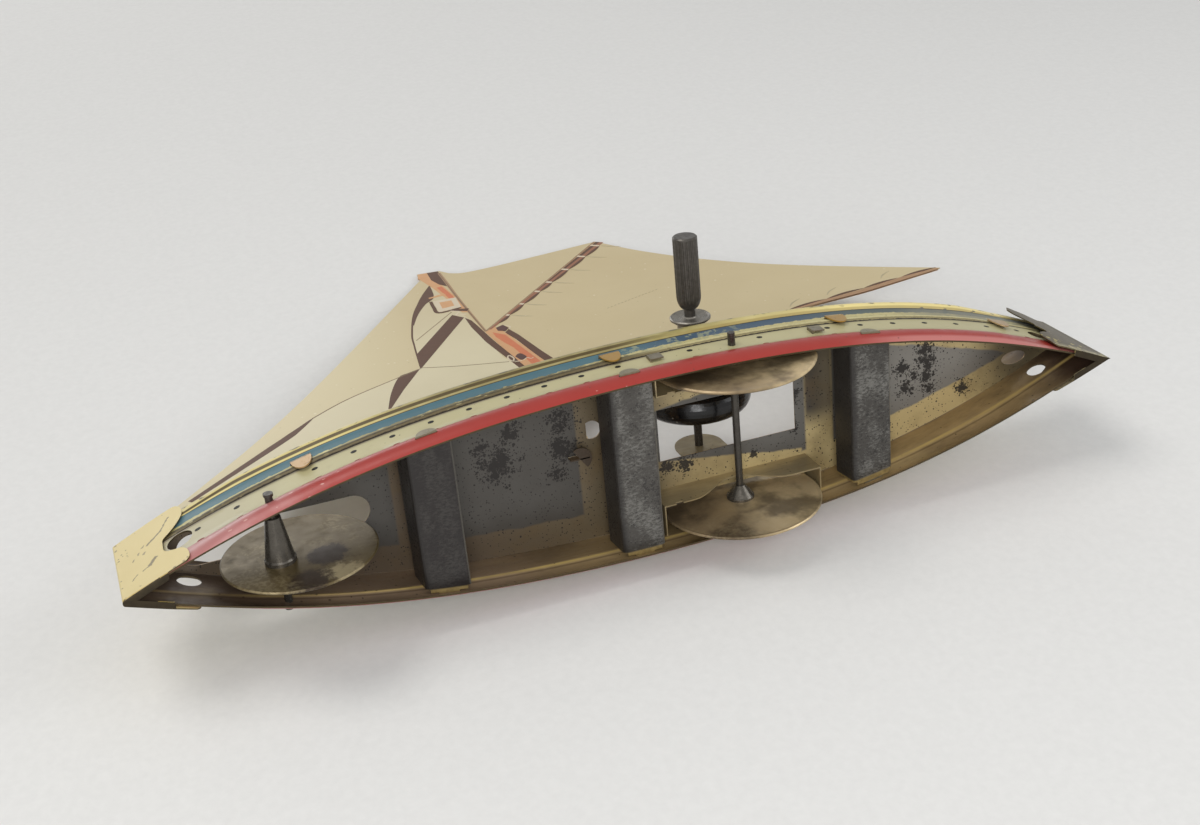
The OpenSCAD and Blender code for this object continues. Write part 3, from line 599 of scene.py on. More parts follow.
def wheel_look():
    """Brassy tin with clouds of tarnish, lightly frosted; painted sheen, hub shadow and highlight."""
    s = Shader("wheel_tin", rough=0.36, metal=0.5)
    front = s.x.ramp(40, 60)
    near = s.mix(s.noise(0.09), (92, 79, 52), (107, 93, 63))
    # painted sheen: the main wheels lighten aft
    tone = s.mix(front, s.mix(s.x.ramp(-16, -44), (144, 124, 94), (210, 188, 146)), near)
    # painted shadow of the hub on the front wheel
    hub_shadow = s.most(s.spot(103, 5, 5, True), s.spot(96, 16.5, 5, True))
    hub_shadow = (hub_shadow + s.sway(2, 0.3, 5, 0.75)).ramp(0.1, 0.7) * front
    clouds = s.stain(0.06, 0.42, 0.62, (11, 3, 30)) * s.x.ramp(40, 60, 0.7, 0.1)
    tone.lay(s.most(hub_shadow * 0.95, clouds), (54, 42, 32))
    # painted highlight on the front wheel
    front_highlight = s.spot(93, 5, 5, True) + s.sway(2.2, 0.45, 5, 0.75)
    front_highlight = front_highlight.ramp(0.3, 1) * front
    frost = s.stain(0.06, 0.46, 0.6, (31, 7, 2)) * s.stain(0.9, 0.42, 0.6)
    tone.lay(s.most(frost * 0.25, front_highlight * 0.85), (168, 154, 120))
    tone.lay(s.dots(1.6, 0.05, (2, 0, 0)) * 0.6, (62, 50, 34))
    return s.finish(tone, s.noise(0.3).ramp(0.3, 0.8, 0.3, 0.5))


def metal(name, dark, light, rough, scale=0.5, stretch=1, share=0.7):
    s = Shader(name, rough=rough, metal=share)
    tone = s.mix(s.noise(scale, 4, 0.6, stretch), dark, light)
    tone.lay(s.dots(0.6, 0.1, (1, 1, 5)) * 0.4, (38, 34, 30))
    return s.finish(tone, s.noise(0.9, 3).ramp(0.3, 0.8, rough - 0.08, rough + 0.14))


def flywheel_look():
    s = Shader("black_enamel", rough=0.2, coat=0.25, specular=0.3)
    tone = s.mix(s.noise(0.3), (8, 7, 8), (16, 15, 15))
    tone.lay(s.dots(1.3, 0.14, (1, 4, 1)) * 0.6, (120, 116, 108))
    return s.finish(tone, s.noise(0.4).ramp(0.3, 0.8, 0.12, 0.34), bump=s.noise(0.5, 3), depth=0.1)


# Hull form

def half_beam(x):
    u = x / HL
    return BEAM_HALF * (1 - u * u) * (1 - 0.0356 * u + 0.3164 * u ** 2
                                      + 0.0138 * u ** 3 - 0.1818 * u ** 4)


def lean(x, h):
    return LEAN * h * (1 - min(1, abs(x / HL)) ** 4)


def slope(x):
    return half_beam(x + 0.5) - half_beam(x - 0.5)


def fade(x):
    """How much of the beads' swell is left: less near the hull's ends."""
    return max(0.3, min(1, 1 - 0.7 * (abs(x / HL) - 0.767) / 0.096))


def side_y(x, out, h):
    return max(0.06, half_beam(x) + lean(x, h) + out * hypot(1, slope(x)))


# the printed bands: name, steps up the side, and how the bead swells over each
BANDS = (("red", 12, lambda t: sin(pi * t) ** 0.8),
         ("cream", 4, lambda t: 0),
         ("gold", 7, lambda t: 0.45 * sin(pi * t) ** 0.5 + 0.1 * t),
         ("blue", 4, lambda t: 0.1),
         ("rail", 12, lambda t: max(0.1, sin(pi * (0.03 + 0.94 * t)) ** 0.7)))
GOLD = 2
INNER, CUT_EDGE = 5, 6


def band_edges(x):
    """Heights between the bands at x, from the bottom edge to the rail."""
    u = x / HL
    cream = CREAM_H * (1 - 0.0747 * u) + 0.85 * SHEER * u ** 2
    top = RAIL_H * (1 - 0.073 * u) + SHEER * u ** 2
    return 0, RED_H * (1 - 0.139 * u), cream, cream + GOLD_H, top - RAIL_BEAD, top


def side_profile(x):
    """(outward, height, band) of the outer face's points at x, upwards."""
    bead = BEAD * fade(x)
    edges = band_edges(x)
    rows = []
    for k, (_, steps, swell) in enumerate(BANDS):
        for i in range(steps):
            t = i / steps
            rows.append((bead * swell(t), edges[k] + t * (edges[k + 1] - edges[k]), k))
    rows.append((0.2 * bead, edges[-1], len(BANDS) - 1))
    return rows


def band_place(x, h):
    """The number of the band that a height lies in, and how far up it, as one sum."""
    edges = band_edges(x)
    k = sum(h > edge for edge in edges[1:-1])
    return k + max(0, min(0.999, (h - edges[k]) / (edges[k + 1] - edges[k])))


# Mesh helpers

def to_mesh(name, bm, materials):
    """Turns a bmesh in millimetres into a mesh in metres."""
    mesh = bpy.data.meshes.new(name)
    bm.to_mesh(mesh)
    bm.free()
    mesh.transform(Matrix.Scale(MM, 4))
    for material in materials:
        mesh.materials.append(material)
    return mesh


def smooth(mesh, angle):
    mesh.shade_smooth()
    mesh.set_sharp_from_angle(angle=radians(angle))


def piece(name, bm, materials, node=None, angle=None):
    """Makes a piece that rides on the hull; it may take a CAD node's place."""
    bmesh.ops.recalc_face_normals(bm, faces=bm.faces)
    mesh = to_mesh(name, bm, materials)
    if angle:
        smooth(mesh, angle)
    obj = add(bpy.data.objects.new(name, mesh))
    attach(obj, "hull")
    if node:
        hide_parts(node)
    return obj


def cut(obj, cutter):
    """Takes the cutter's space out of obj and removes the cutter."""
    step = obj.modifiers.new("cut", "BOOLEAN")
    step.operation = "DIFFERENCE"
    step.solver = "EXACT"
    step.object = cutter
    bpy.context.view_layer.update()
    done = bpy.data.meshes.new_from_object(
        obj.evaluated_get(bpy.context.evaluated_depsgraph_get()))
    obj.modifiers.remove(step)
    obj.data = done
    bpy.data.objects.remove(cutter)


def put(bm, made, centre, *turns):
    place = Matrix.Translation(centre)
    for turn in turns:
        place = place @ turn
    bmesh.ops.transform(bm, matrix=place, verts=made["verts"])


def box_into(bm, centre, size, turn=0):
    put(bm, bmesh.ops.create_cube(bm, size=1), centre,
        Matrix.Rotation(turn, 4, "Z"), Matrix.Diagonal((*size, 1)))


def rod_into(bm, x, z, y0, y1, radius):
    rod = bmesh.ops.create_cone(bm, cap_ends=True, segments=40, radius1=radius,
                                radius2=radius, depth=abs(y1 - y0))
    put(bm, rod, (x, (y0 + y1) / 2, z), Matrix.Rotation(pi / 2, 4, "X"))


def split_faces(bm):
    """Cuts the faces of more than four corners into triangles."""
    bm.normal_update()
    bmesh.ops.triangulate(bm, faces=[f for f in bm.faces if len(f.verts) > 4])


def loft_into(bm, rings):
    """Skins a row of rings of points; returns the faces between them."""
    rows = [[bm.verts.new(p) for p in ring] for ring in rings]
    faces = []
    for a, b in zip(rows, rows[1:]):
        for j in range(len(a)):
            k = (j + 1) % len(a)
            faces.append(bm.faces.new((a[j], a[k], b[k], b[j])))
    bm.faces.new(rows[0])
    bm.faces.new(rows[-1][::-1])
    return faces


def slab_into(bm, near, far, index=0):
    """A closed slab between two outlines; returns its rim's faces."""
    near = [bm.verts.new(p) for p in near]
    far = [bm.verts.new(p) for p in far]
    rim = [bm.faces.new((near[i - 1], far[i - 1], far[i], near[i])) for i in range(len(near))]
    for face in [bm.faces.new(near), bm.faces.new(far[::-1])] + rim:
        face.material_index = index
    return rim


def prism_into(bm, outline, y0, y1):
    """A flat shape in (x, h), standing between y0 and y1."""
    return slab_into(bm, *([(x, y, EDGE + h) for x, h in outline] for y in (y0, y1)))


def pairs(*numbers):
    """Points (x, h) from a row of numbers."""
    return list(zip(numbers[::2], numbers[1::2]))


def curve(steps, *numbers):
    """Catmull-Rom curve through the points, in steps from each to the next."""
    points = pairs(*numbers)
    last = len(points) - 1
    found = []
    for i in range(last):
        around = [points[max(0, min(last, k))] for k in range(i - 1, i + 3)]
        for k in range(steps):
            t = k / steps
            found.append(tuple(
                0.5 * (2 * b + (c - a) * t + (2 * a - 5 * b + 4 * c - d) * t * t
                       + (3 * b - a - 3 * c + d) * t ** 3)
                for a, b, c, d in zip(*around)))
    return found + points[-1:]


# Hull sides

def side_cutter(sign, materials):
    """The holes and slots of a side; they leave faces of cut tin."""
    bm = bmesh.new()
    rod_into(bm, *MAIN_AXLE, sign * 10, sign * 50, AXLE_R)
    rod_into(bm, *FRONT_AXLE, sign * 5, sign * 40, AXLE_R)
    for x, z, radius in HAWSE[sign]:
        rod_into(bm, x, z, sign * 0.6, sign * 30, radius)
    slots = [(x, TAB_HALF + 0.2, DECK_H) for x in TAB_X] + [(x, 3.2, BRACE_H) for x in BRACE_X]
    for x, half, h in slots:
        turn = sign * atan(slope(x))
        h += TIN / 2
        box_into(bm, (x, sign * side_y(x, 0.3, h), EDGE + h), (2 * half, 6, TIN + 0.2), turn)
    for x in BRACKET_X:
        box_into(bm, (x, sign * side_y(x, 0, 12), EDGE + 12.1), (0.6, 8, 3.8))
    for face in bm.faces:
        face.material_index = CUT_EDGE
    return add(bpy.data.objects.new("cutter", to_mesh("cutter", bm, materials)))


def make_side(side, sign, materials):
    stations = 150
    ends = HL - 0.5
    rings = []
    for i in range(stations + 1):
        x = -ends + 2 * ends * i / stations
        rows = side_profile(x)
        outer = [(x, sign * side_y(x, o, h), EDGE + h) for o, h, _ in rows]
        # inside, the gold line's bead is filled, so that the deck's edge meets the side
        flat = 0.1 * BEAD * fade(x)
        inner = [(x, sign * side_y(x, (flat if k == GOLD else o) - SHEET, h), EDGE + h)
                 for o, h, k in reversed(rows)]
        rings.append(outer + inner)
    n = len(rows)
    indices = [k for _, _, k in rows[:-1]] + [CUT_EDGE] + [INNER] * (n - 1) + [CUT_EDGE]
    bm = bmesh.new()
    for j, face in enumerate(loft_into(bm, rings)):
        face.material_index = indices[j % (2 * n)]
    obj = piece("side_" + side, bm, materials, "hull_side_" + side)
    obj.parent = None
    cut(obj, side_cutter(sign, materials))
    mesh = obj.data
    smooth(mesh, 38)
    bands = mesh.attributes.new("bands", "FLOAT_VECTOR", "POINT")
    for v in mesh.vertices:
        x, h = v.co.x / MM, v.co.z / MM - EDGE
        bands.data[v.index].vector = (band_place(x, h), x, 0)
    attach(obj, "hull")


def make_portholes(side, sign, materials):
    """Printed portholes, and a tick below each where the red begins."""
    bm = bmesh.new()
    first, pitch, count = 127.6, 11.15, 24
    left_out = (2, 12, 14, 16)
    for k in range(count):
        if k in left_out:
            continue
        x = first - pitch * k
        red, cream = band_edges(x)[1:3]
        for rx, rh, mid, index in ((0.9, 0.66, (red + cream) / 2 + 1.2, 0),
                                   (1, 0.4, red + 0.1, 1)):
            turns = [2 * pi * i / 16 for i in range(16)]
            rim = [(x + rx * cos(a), mid + rh * sin(a)) for a in turns]
            slab_into(bm, *([(px, sign * side_y(px, out, ph), EDGE + ph) for px, ph in rim]
                            for out in (0.05, -0.1)), index)
    piece("portholes_" + side, bm, materials)


# End caps

CAP_GAP = 0.45
CAP_TURN = 1.7


def cap_outline(top, up, notch, low, droop, deep, reach):
    """Side view of a cap as (distance past the hull's end, height)."""
    lobe = curve(4, 5 - up, top + 0.2 - droop, 2 - up, top - droop, 0.6 - up, top - droop - 1.6 * deep,
                 -up, top - 4 * deep, 0.3 - up, top - 6.6 * deep,
                 1.6 - up, top - 9 * deep, 3.6 - up, top - 11.4 * deep)
    throat = curve(4, -1.6 - notch, top - 12.9 * deep, -0.3 - notch, top - 14.2 * deep,
                   -notch, top - 9.6 - 7.1 * deep, -notch, top - 19.8, -1 - notch, top - 21.4)
    lower = curve(4, 3.5 - low, top - 22.4, 1.6 - low, top - 23.6, 0.4 - low, top - 25.6,
                  -low, top - 28, 0.2 - low, 0.9, 1.2 - low, -0.2)
    return pairs(reach, -1.4, reach, top, -5, top) + lobe + throat + lower + [(7 - low, -0.7)]


def leaf(x, out, h, spring, end):
    """How far a cap's leaf stands from the middle plane, sprung away by spring."""
    sprung = spring * max(0, min(1, (HL - 0.5 - x) / 13)) * (0.3 + 0.02 * h)
    return half_beam(end * x) + lean(x, h) + (out + sprung) * hypot(1, slope(end * x))


def nose(out, end):
    """How far the fold stands past the hull's end: blunt at the bow, sharp aft."""
    if end > 0:
        return out - CAP_GAP + 0.1
    s = abs(slope(-HL))
    return out * hypot(1, s) / s


def leaf_point(x, h, out, spring, end):
    """A point of a leaf; past the hull's end it closes in on the middle plane."""
    if x <= HL:
        return x, leaf(x, out, h, spring, end)
    share = min(1, (x - HL) / nose(CAP_GAP + TIN, end))
    close = sqrt(1 - share * share) if end > 0 else 1 - share
    return HL + share * nose(out, end), leaf(HL, out, h, spring, end) * close


def turned_edge(bm, sign, low, spring, end):
    """The bottom edge, curled in under the hull's side."""
    reach = nose(CAP_GAP + TIN, end)
    start = HL - low + 6.4
    steps = 28
    rings = []
    for i in range(steps + 1):
        x = start + (HL + 0.96 * reach - start) * i / steps
        bottom = -0.7 - 0.7 * (x - start) / (HL + reach - start)
        px, y = leaf_point(x, bottom, CAP_GAP + TIN, spring, end)
        y_in = max(0.01, min(y - 0.05, leaf(min(x, HL), CAP_GAP - CAP_TURN, bottom, spring, end)))
        wall = min(TIN, y - y_in - 0.02)
        section = [(y, bottom + 0.5), (y, bottom + 0.1), (y - 0.35 * wall, bottom - 0.12),
                   (y - wall, bottom - 0.2), (y_in, bottom - 0.1), (y_in, bottom + 0.2),
                   (y - wall, bottom + 0.2), (y - wall, bottom + 0.5)]
        rings.append([(end * px, sign * side, EDGE + h) for side, h in section])
    for face in loft_into(bm, rings):
        face.material_index = 1 if max(v.co.z for v in face.verts) < EDGE - 0.72 else 0


def make_cap(name, node, end, shape, springs, materials):
    """An end cap of two leaves; shape holds what cap_outline wants."""
    bm = bmesh.new()
    reach = nose(CAP_GAP + TIN, end)
    planes = [HL - 20 + 1.35 * k for k in range(1, 15)]
    planes += [HL + reach * t for t in (0, 0.3, 0.6, 0.8, 0.92, 0.98)]
    for sign, spring in zip((1, -1), springs):
        outline = [(HL + dx, h) for dx, h in cap_outline(*shape, reach)]
        layer = [bm.faces.new([bm.verts.new((x, 0, h)) for x, h in outline])]
        for place in planes:
            geometry = list({v for f in layer for v in f.verts}
                            | {e for f in layer for e in f.edges}) + layer
            found = bmesh.ops.bisect_plane(bm, geom=geometry, plane_co=(place, 0, 0),
                                           plane_no=(1, 0, 0))["geom"]
            layer = [g for g in found if isinstance(g, bmesh.types.BMFace)]
        rim = [e for f in layer for e in f.edges if len(e.link_faces) == 1]
        twin = {}
        for v in dict.fromkeys(v for f in layer for v in f.verts):
            x, h = v.co.x, v.co.z
            leaves = (leaf_point(x, h, out, spring, end) for out in (CAP_GAP, CAP_GAP + TIN))
            v.co, outer = ((end * px, sign * py, EDGE + h) for px, py in leaves)
            twin[v] = bm.verts.new(outer)
        for f in list(layer):
            bm.faces.new([twin[v] for v in f.verts])
        for e in rim:
            a, b = e.verts
            bm.faces.new((a, b, twin[b], twin[a])).material_index = 2
        turned_edge(bm, sign, shape[3], spring, end)
    bmesh.ops.remove_doubles(bm, verts=bm.verts, dist=0.01)
    piece(name, bm, materials, node, angle=35)


# Sail

# the sheet's edge in (x, h), with the drawn curves made smooth
SAIL_EDGE = (
    curve(6, 145.5, 31.8, 130, 49, 123, 56.8, 104, 78.6, 84.6, 103.6, 63, 134, 42, 164.5, 20.2, 196.4)
    + pairs(19.6, 204, 10.8, 203)
    + curve(6, 8, 198, 2.5, 195.2, -10, 195.4, -22.8, 196.7, -54, 200.2)
    + curve(5, -54, 200.2, -63.5, 182, -74, 166.2, -80.8, 157.4, -95, 142, -110, 128.6, -130, 113,
            -151.2, 97.4)[1:]
    + curve(4, -151.2, 97.4, -134, 94.6, -117.5, 92.3, -97.5, 89.9, -86.8, 88.8, -45, 84.6, 5, 79.5)[1:]
    + pairs(7, 76, 8, 60, 11, 26, 12, 19.8, 14.5, 19.8, 14.5, 17, 20.5, 17, 20.5, 19.8, 22, 19.8, 23,
            40, 27, 50, 34, 53.5, 80, 44.5, 120, 36, 134, 32, 137.5, 29, 137.5, 17, 142.5, 17, 142.5,
            28))


def make_sail(materials):
    """The sheet, and the foot's tab that is turned flat against the deck."""
    bm = bmesh.new()
    for face in prism_into(bm, SAIL_EDGE, -SAIL_T / 2, SAIL_T / 2):
        face.material_index = 2 if max(v.co.z for v in face.verts) < EDGE + 20 else 1
    half_disc = [Matrix.Rotation(radians(56), 2) @ Vector((3.6 * cos(a), 3.6 * sin(a)))
                 for a in (pi * i / 16 for i in range(17))]
    lower, upper = ([(17.5 + p.x, p.y, EDGE + h) for p in half_disc] for h in (17, 17.4))
    slab_into(bm, lower, upper, 2)
    split_faces(bm)
    piece("sail_sheet", bm, materials, "sail")


def ribbon(widths, *numbers):
    """Outline of a line through the points that is as wide as widths say."""
    if not isinstance(widths, tuple):
        widths = (widths, widths)
    path = curve(6, *numbers) if len(numbers) > 4 else pairs(*numbers)
    last = len(path) - 1
    left, right = [], []
    for i, (x, h) in enumerate(path):
        a, b = path[max(0, i - 1)], path[min(last, i + 1)]
        dx, dh = b[0] - a[0], b[1] - a[1]
        size = hypot(dx, dh) or 1
        t = i / last * (len(widths) - 1)
        k = min(int(t), len(widths) - 2)
        w = (widths[k] + (widths[k + 1] - widths[k]) * (t - k)) / 2
        left.append((x - dh / size * w, h + dx / size * w))
        right.append((x + dh / size * w, h - dx / size * w))
    return left + right[::-1]


def scallops(a, b, count, depth):
    """Shallow lobes along the line from a to b, on its left."""
    dx, dh = b[0] - a[0], b[1] - a[1]
    size = hypot(dx, dh)
    found = [a]
    steps = 8
    for i in range(1, count * steps + 1):
        t = i / (count * steps)
        bulge = depth / size * sin(pi * ((i - 1) % steps + 1) / steps) ** 0.8
        found.append((a[0] + dx * t - dh * bulge, a[1] + dh * t + dx * bulge))
    return found


GAFF_JOINTS = (0.083, 0.169, 0.285, 0.42, 0.523, 0.67, 0.825, 0.96)


def gaff(ts, above, below):
    """Outline between two rows of distances from the gaff's line, ts along it."""
    def at(t, v):
        return 13 - 66.5 * t - 0.724 * v, 130.1 + 69.9 * t - 0.689 * v
    return [at(t, v) for t, v in zip(ts, above)] + [at(t, v) for t, v in zip(ts, below)][::-1]


# printed shapes of the sail: colour, layer, and outline in x and h
SAIL_PRINT = [
    # paler staysail inside the jib's curved edge
    ("pale", 0, curve(5, 18.6, 187.6, 24.6, 177, 30.1, 164.6, 34.5, 151.2, 38.8, 131.4, 41.8, 110.2) +
        curve(4, 50.5, 106.2, 70, 97.4, 83.2, 88.2, 100, 72.3, 125, 50.8) + pairs(80, 45.6, 34, 54.6, 27,
        51.2, 23.4, 41, 14, 60, 10.4, 92, 14.4, 103, 15, 118.3, 15.1, 134.6, 15.2, 148.1, 16.4, 170, 17.6,
        182)),
    # dark shade inside the head of the jib, and the long line of its edge
    ("brown", 1, curve(4, 18.4, 187.9, 20.3, 174.8, 25, 169.2, 30.2, 160.1, 34.5, 149.6) + curve(4, 34.6,
        151.7, 30.3, 164.8, 24.8, 177.5, 18.8, 188.2)[1:]),
    ("brown", 1, ribbon((0.5, 0.7, 0.6, 0.5), 18.5, 188, 30.4, 164.4, 36.9, 142.5, 38.9, 131.4, 40.8,
        118.6, 42, 110)),
    ("brown", 1, pairs(19.2, 152.8, 16, 147.8, 41.9, 109.6, 42, 111.8, 40.2, 122.8)),
    ("brown", 1, curve(4, 42, 109.9, 46.6, 108.3, 50.8, 106, 56, 94.6, 59.7, 82.9) + pairs(59.8, 80.8,
        51.4, 95.4, 42.6, 109.2)),
    ("line", 1, ribbon((0.4, 0.5, 0.6), 42, 109.6, 50.5, 106.2, 70, 97.5, 83.2, 88.6)),
    ("brown", 1, ribbon((0.4, 2.8, 2.8, 2.4, 1.6), 83.2, 88.6, 91.5, 79.8, 100, 72.3, 108.4, 65, 127,
        49)),
    ("line", 1, ribbon(0.35, 18.5, 155.9, 37.1, 135.4)),
    ("line", 1, ribbon(0.4, 41.8, 110.2, 30.6, 104.9, 14, 99)),
    # upper mast: salmon with a brown shaded side
    ("salmon", 1, pairs(20.4, 199.2, 19.2, 203.6, 15.4, 203.3, 14.4, 190, 12.5, 166, 12.6, 152, 15.2,
        153.5, 16.4, 170, 18.4, 187.6)),
    ("brown", 2, pairs(15.7, 203.2, 11.3, 202.7, 11.9, 196, 12.7, 184, 14.9, 187.6, 16.3, 194.2)),
    ("orange", 2, pairs(16.6, 184.5, 14.6, 184.8, 13.6, 172, 14.2, 158, 15.2, 160, 15.6, 172)),
    ("tan", 2, ribbon((1.2, 1.3, 1.1, 0.9), 11.5, 200.4, 11.8, 189, 12.5, 170, 12.8, 153, 13, 130.1)),
    ("line", 3, ribbon(0.4, 11.6, 200.2, 12, 188.4, 12.6, 170, 12.9, 153, 13.1, 131)),
    # small plain pennant
    ("pennant", 2, pairs(21.9, 170.6, 13.1, 169.9, 14, 158.9, 22.7, 158.1)),
    ("salmon", 3, pairs(20, 168, 15.4, 167.7, 15.9, 161.6, 20.6, 161.2)),
    ("brown", 3, ribbon((1.2, 1.4, 1), 22.6, 170.8, 23.2, 163.8, 22.8, 157.6, 14.2, 158.4)),
    ("salmon", 3, ribbon((1, 1.8), 22.3, 174.6, 15.8, 175.8)),
    ("brown", 3, ribbon((1.6, 2.6), 17.4, 157.6, 12.6, 154.6)),
    ("rope", 4, ribbon(0.6, 18.6, 157, 16.2, 154.4, 18, 151.6, 14.6, 150.4)),
    # lower mast: salmon with a red streak, dark shades, a cleat and knobs
    ("brown", 1, pairs(15.9, 147.5, 16.4, 136.8, 16.1, 129.6, 15.8, 120.7, 14.8, 111.6, 13.8, 103.9, 12.6,
        92.7, 13.4, 76, 15.4, 58, 17.6, 40, 15.2, 40, 12.8, 58, 11, 76, 10.5, 92.5, 11.5, 104.8, 12.2,
        111.8, 13, 120.2, 13.5, 128.5, 14, 137.1, 14.5, 143.4)),
    ("salmon", 2, pairs(13.3, 129.4, 12.2, 111.8, 11.5, 104.8, 10.5, 92.5, 11, 76, 12.8, 58, 15.2, 40,
        20.4, 20, 12.4, 20, 9.5, 40, 6.5, 60, 4.4, 76, 3.3, 93.3, 5.2, 110, 7.7, 128, 8.9, 132.6)),
    ("orange", 3, pairs(11.2, 127.7, 7.9, 123.1, 6.4, 109.7, 5.5, 102.1, 4.6, 94.6, 4.8, 80, 8.6, 58,
        11.5, 40, 13.5, 40, 10.8, 58, 7.8, 80, 7.8, 92.1, 8.4, 102.8, 8.9, 110.3, 10.3, 116.1, 11.4,
        122.8)),
    ("brown", 2, pairs(5.2, 127.7, 3.7, 120.4, 2.5, 111, 1.3, 101.9, 0, 93.5, -0.6, 80.6, 2.9, 80.3, 3,
        93, 3.9, 98.8, 4.8, 107.6, 5.7, 116.7, 7.3, 125.2)),
    ("dark", 4, pairs(8.9, 131.3, 5.9, 132.7, 4.9, 128.8, 6.8, 126.4, 9.1, 128.1)),
    ("dark", 4, curve(3, 10.8, 102, 9.6, 103.6, 8.3, 103.6, 7.4, 100, 8.6, 98.4, 10, 98.2, 10.8,
        102)[:-1]),
    ("rope", 5, ribbon(0.5, 12, 97.4, 13.2, 99.6, 13.4, 102.4, 12.4, 104, 11.7, 101, 12.4, 98.2,
        9.8, 97.2)),
    ("rope", 5, ribbon(0.35, 9.4, 97.4, 7.6, 98.8, 6.6, 97.4, 5.6, 98)),
    ("rope", 5, ribbon(0.5, 5.4, 131.8, 4.2, 129.6, 5, 127.6)),
    # gaff: a tan line, and a dark band that widens to the peak
    ("tan", 3, gaff((0, 0.05, 0.5, 1), (-0.3,) * 4, (0.3, 0.35, 0.4, 0.5))),
    ("line", 4, gaff((0, 1), (-0.3, -0.3), (-0.05, -0.05))),
    ("brown", 4, gaff((0.4, 0.55, 1), (0.45, 0.45, 0.8), (0.5, 1.2, 2.3))),
    ("russet", 3, gaff((0.02, 0.4, 0.55, 1), (0.3, 0.5, 0.7, 1.8), (1.2, 2.1, 2.6, 4))),
    # boom: tan, with brown lobes above it
    ("tan", 3, ribbon((0.4, 0.9, 2, 2.6, 2.6, 1.2), -70, 87.4, -88, 89.4, -99.5, 90.6, -117, 92.2, -134.6,
        95.2, -150, 97.2)),
    ("brown", 2, scallops((-150, 98.4), (-86, 89.8), 4, 1.3)),
    ("brown", 2, ribbon((1.4, 1.2, 0.5), 2, 80.6, -20, 82.8, -42, 85.2, -72, 87.8)),
    ("tan", 3, ribbon((1.6, 1.3, 0.7), 1.6, 80.6, -20, 82.7, -42, 85)),
]
# lobes of the gaff, the rope bands between them, and a crease from each
for low, high in zip(GAFF_JOINTS, GAFF_JOINTS[1:]):
    ts = [low + (high - low) * k / 8 for k in range(9)]
    base = [1 + 3.2 * t for t in ts]
    bulge = [0.9 * sin(pi * k / 8) ** 0.8 for k in range(9)]
    x, h = gaff((high,), (1.6 + 3.2 * high,), ())[0]
    SAIL_PRINT += [
        ("brown", 4, gaff(ts, [b - 0.4 * c - 0.05 for b, c in zip(base, bulge)],
                          [b + c + 0.02 for b, c in zip(base, bulge)])),
        ("rope", 5, gaff((high - 0.012, high + 0.002), (0.3, 0.3), (1 + 3.2 * high,) * 2)),
        ("crease", 1, ribbon((0.2, 0.8, 0.1), x, h, x - 2.6, h - 2.6, x - 6.4, h - 5.4)),
    ]
for x, h in ((-88, 92.6), (-104, 95.4), (-128, 99.6)):
    SAIL_PRINT.append(("crease", 1, ribbon((0.2, 0.7, 0.1), x, h, x - 2.4, h + 2.8, x - 6.2, h + 5)))
for k in range(15):
    x, h = -32.2 - 21.7 * k / 14, 127.2 + 7.5 * k / 14
    SAIL_PRINT.append(("crease", 1, ribbon(0.3, x, h, x - 0.7, h + 0.5)))
SAIL_PRINT.sort(key=lambda shape: shape[1])


def make_sail_print(side, sign, materials):
    """The print of one face: a piece for each colour, each shape a hair higher."""
    for colour, material in materials.items():
        bm = bmesh.new()
        for order, (name, _, outline) in enumerate(SAIL_PRINT):
            if name == colour:
                high = sign * (SAIL_T / 2 + 0.02 + 0.0016 * order)
                prism_into(bm, outline, sign * (SAIL_T / 2 - 0.02), high)
        split_faces(bm)
        piece("sail_" + colour + "_" + side, bm, [material])


# Putting it together

INKS = dict(
    brown=((80, 53, 37), (92, 63, 46)),
    salmon=((194, 146, 102), (208, 162, 118)),
    orange=((192, 108, 72), (202, 124, 86)),
    tan=((150, 116, 84), (172, 138, 106)),
    russet=((134, 88, 64), (152, 104, 78)),
    line=((112, 92, 68), (130, 110, 86)),
    dark=((72, 44, 40), (88, 58, 52)),
    rope=((202, 186, 160), (214, 200, 176)),
    crease=((164, 152, 122), (178, 166, 136)),
    pennant=((200, 184, 158), (210, 196, 172)))

make_camera()
make_world()
make_lights()
make_stage()

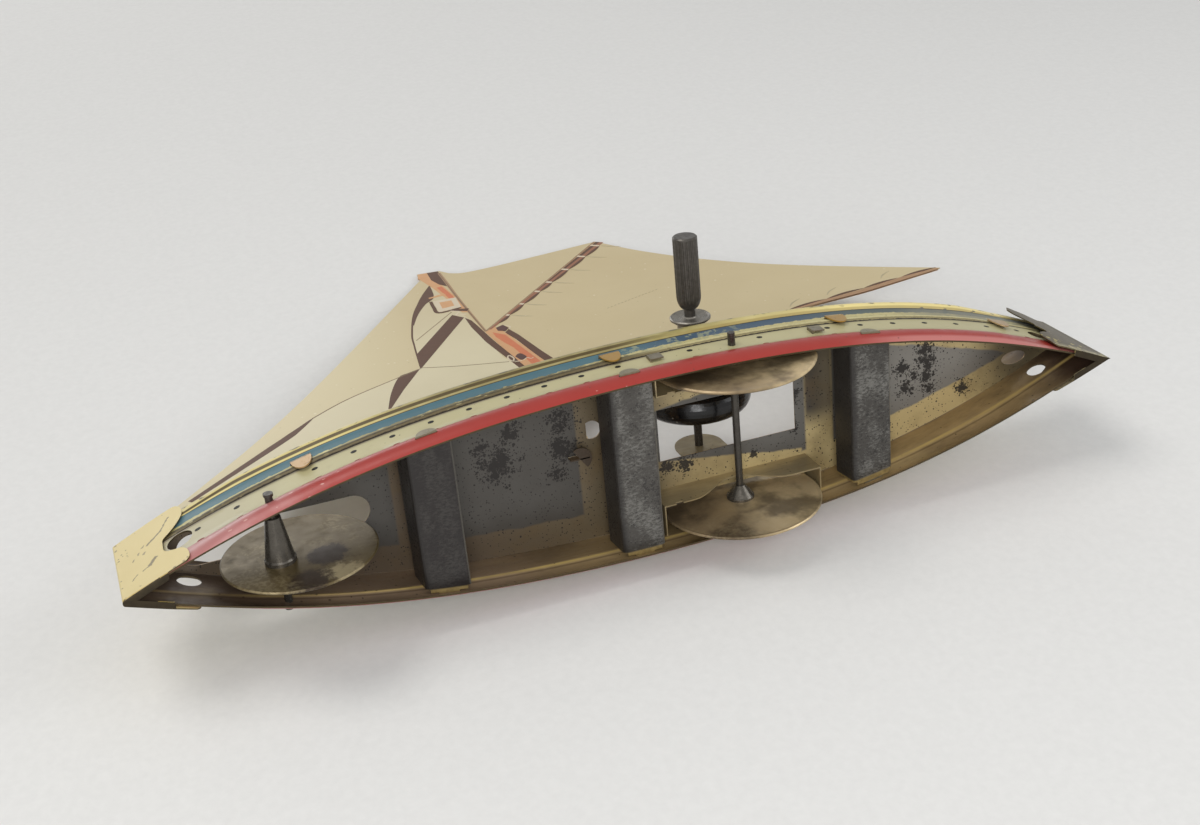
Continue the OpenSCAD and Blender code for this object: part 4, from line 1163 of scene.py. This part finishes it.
side_tin = [red_look(), cream_look(), gold_line_look(), blue_look(),
            rail_look(), lacquer("inner_lacquer", lit_ridge=True),
            metal("cut_edge", (62, 52, 36), (92, 80, 56), 0.4)]
hole_inks = [ink("porthole_black", (22, 20, 18), (36, 33, 28)),
             ink("tick_red", (104, 40, 36), (128, 50, 46))]
SIDES = (("port", 1), ("starboard", -1))
for side, sign in SIDES:
    make_side(side, sign, side_tin)
    make_portholes(side, sign, hole_inks)

cap_tin = [metal("cap_under", (40, 34, 26), (70, 60, 42), 0.45),
           metal("cap_rim", (74, 66, 48), (120, 108, 78), 0.42)]
make_cap("cap_bow", "bow_cap", 1, (31, 19.6, 12.6, 18.7, 0, 1), (0, 0),
         [bow_cap_look(), *cap_tin])
make_cap("cap_stern", "stern_cap", -1, (34.5, 15, 10.3, 16.8, 1.8, 1.25), (2.1, 0),
         [stern_cap_look(), *cap_tin])
make_sail([sail_look(), metal("sail_edge", (158, 146, 116), (188, 174, 142), 0.5, share=0.1),
           metal("sail_tab", (50, 39, 28), (68, 54, 39), 0.5, share=0.1)])
inks = {"pale": staysail_look()}
for name, shades in INKS.items():
    inks[name] = ink("print_" + name, *shades)
for side, sign in SIDES:
    make_sail_print(side, sign, inks)

# the CAD nodes that stay as they are, by material
for material, nodes in (
        (deck_look(), "deck"),
        (brace_look(), "brace_fore brace_mid brace_aft"),
        (lacquer("bracket_lacquer", (160, 144, 112), (180, 162, 122), 0.36, tabs=True),
         "wheel_bracket_port wheel_bracket_starboard upright_port upright_starboard"),
        (wheel_look(), "main_wheel_port main_wheel_starboard front_wheel"),
        (metal("hub_steel", (68, 64, 58), (106, 101, 93), 0.28, 0.3, (1, 0.3, 1)),
         "main_hub_port main_hub_starboard front_hub_port front_hub_starboard"),
        (metal("axle_steel", (58, 55, 51), (86, 82, 76), 0.32),
         "main_axle front_axle flywheel_spindle"),
        # noise drawn out along z into light streaks: painted highlights along the grip's reeds
        (metal("grip_steel", (52, 49, 46), (102, 98, 92), 0.36, 1.1, (1, 1, 0.05)), "spin_grip"),
        (metal("dish_steel", (86, 82, 76), (146, 141, 132), 0.34), "grip_dish"),
        (flywheel_look(), "flywheel")):
    for node in nodes.split():
        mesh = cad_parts[node].data
        mesh.materials.clear()
        mesh.materials.append(material)
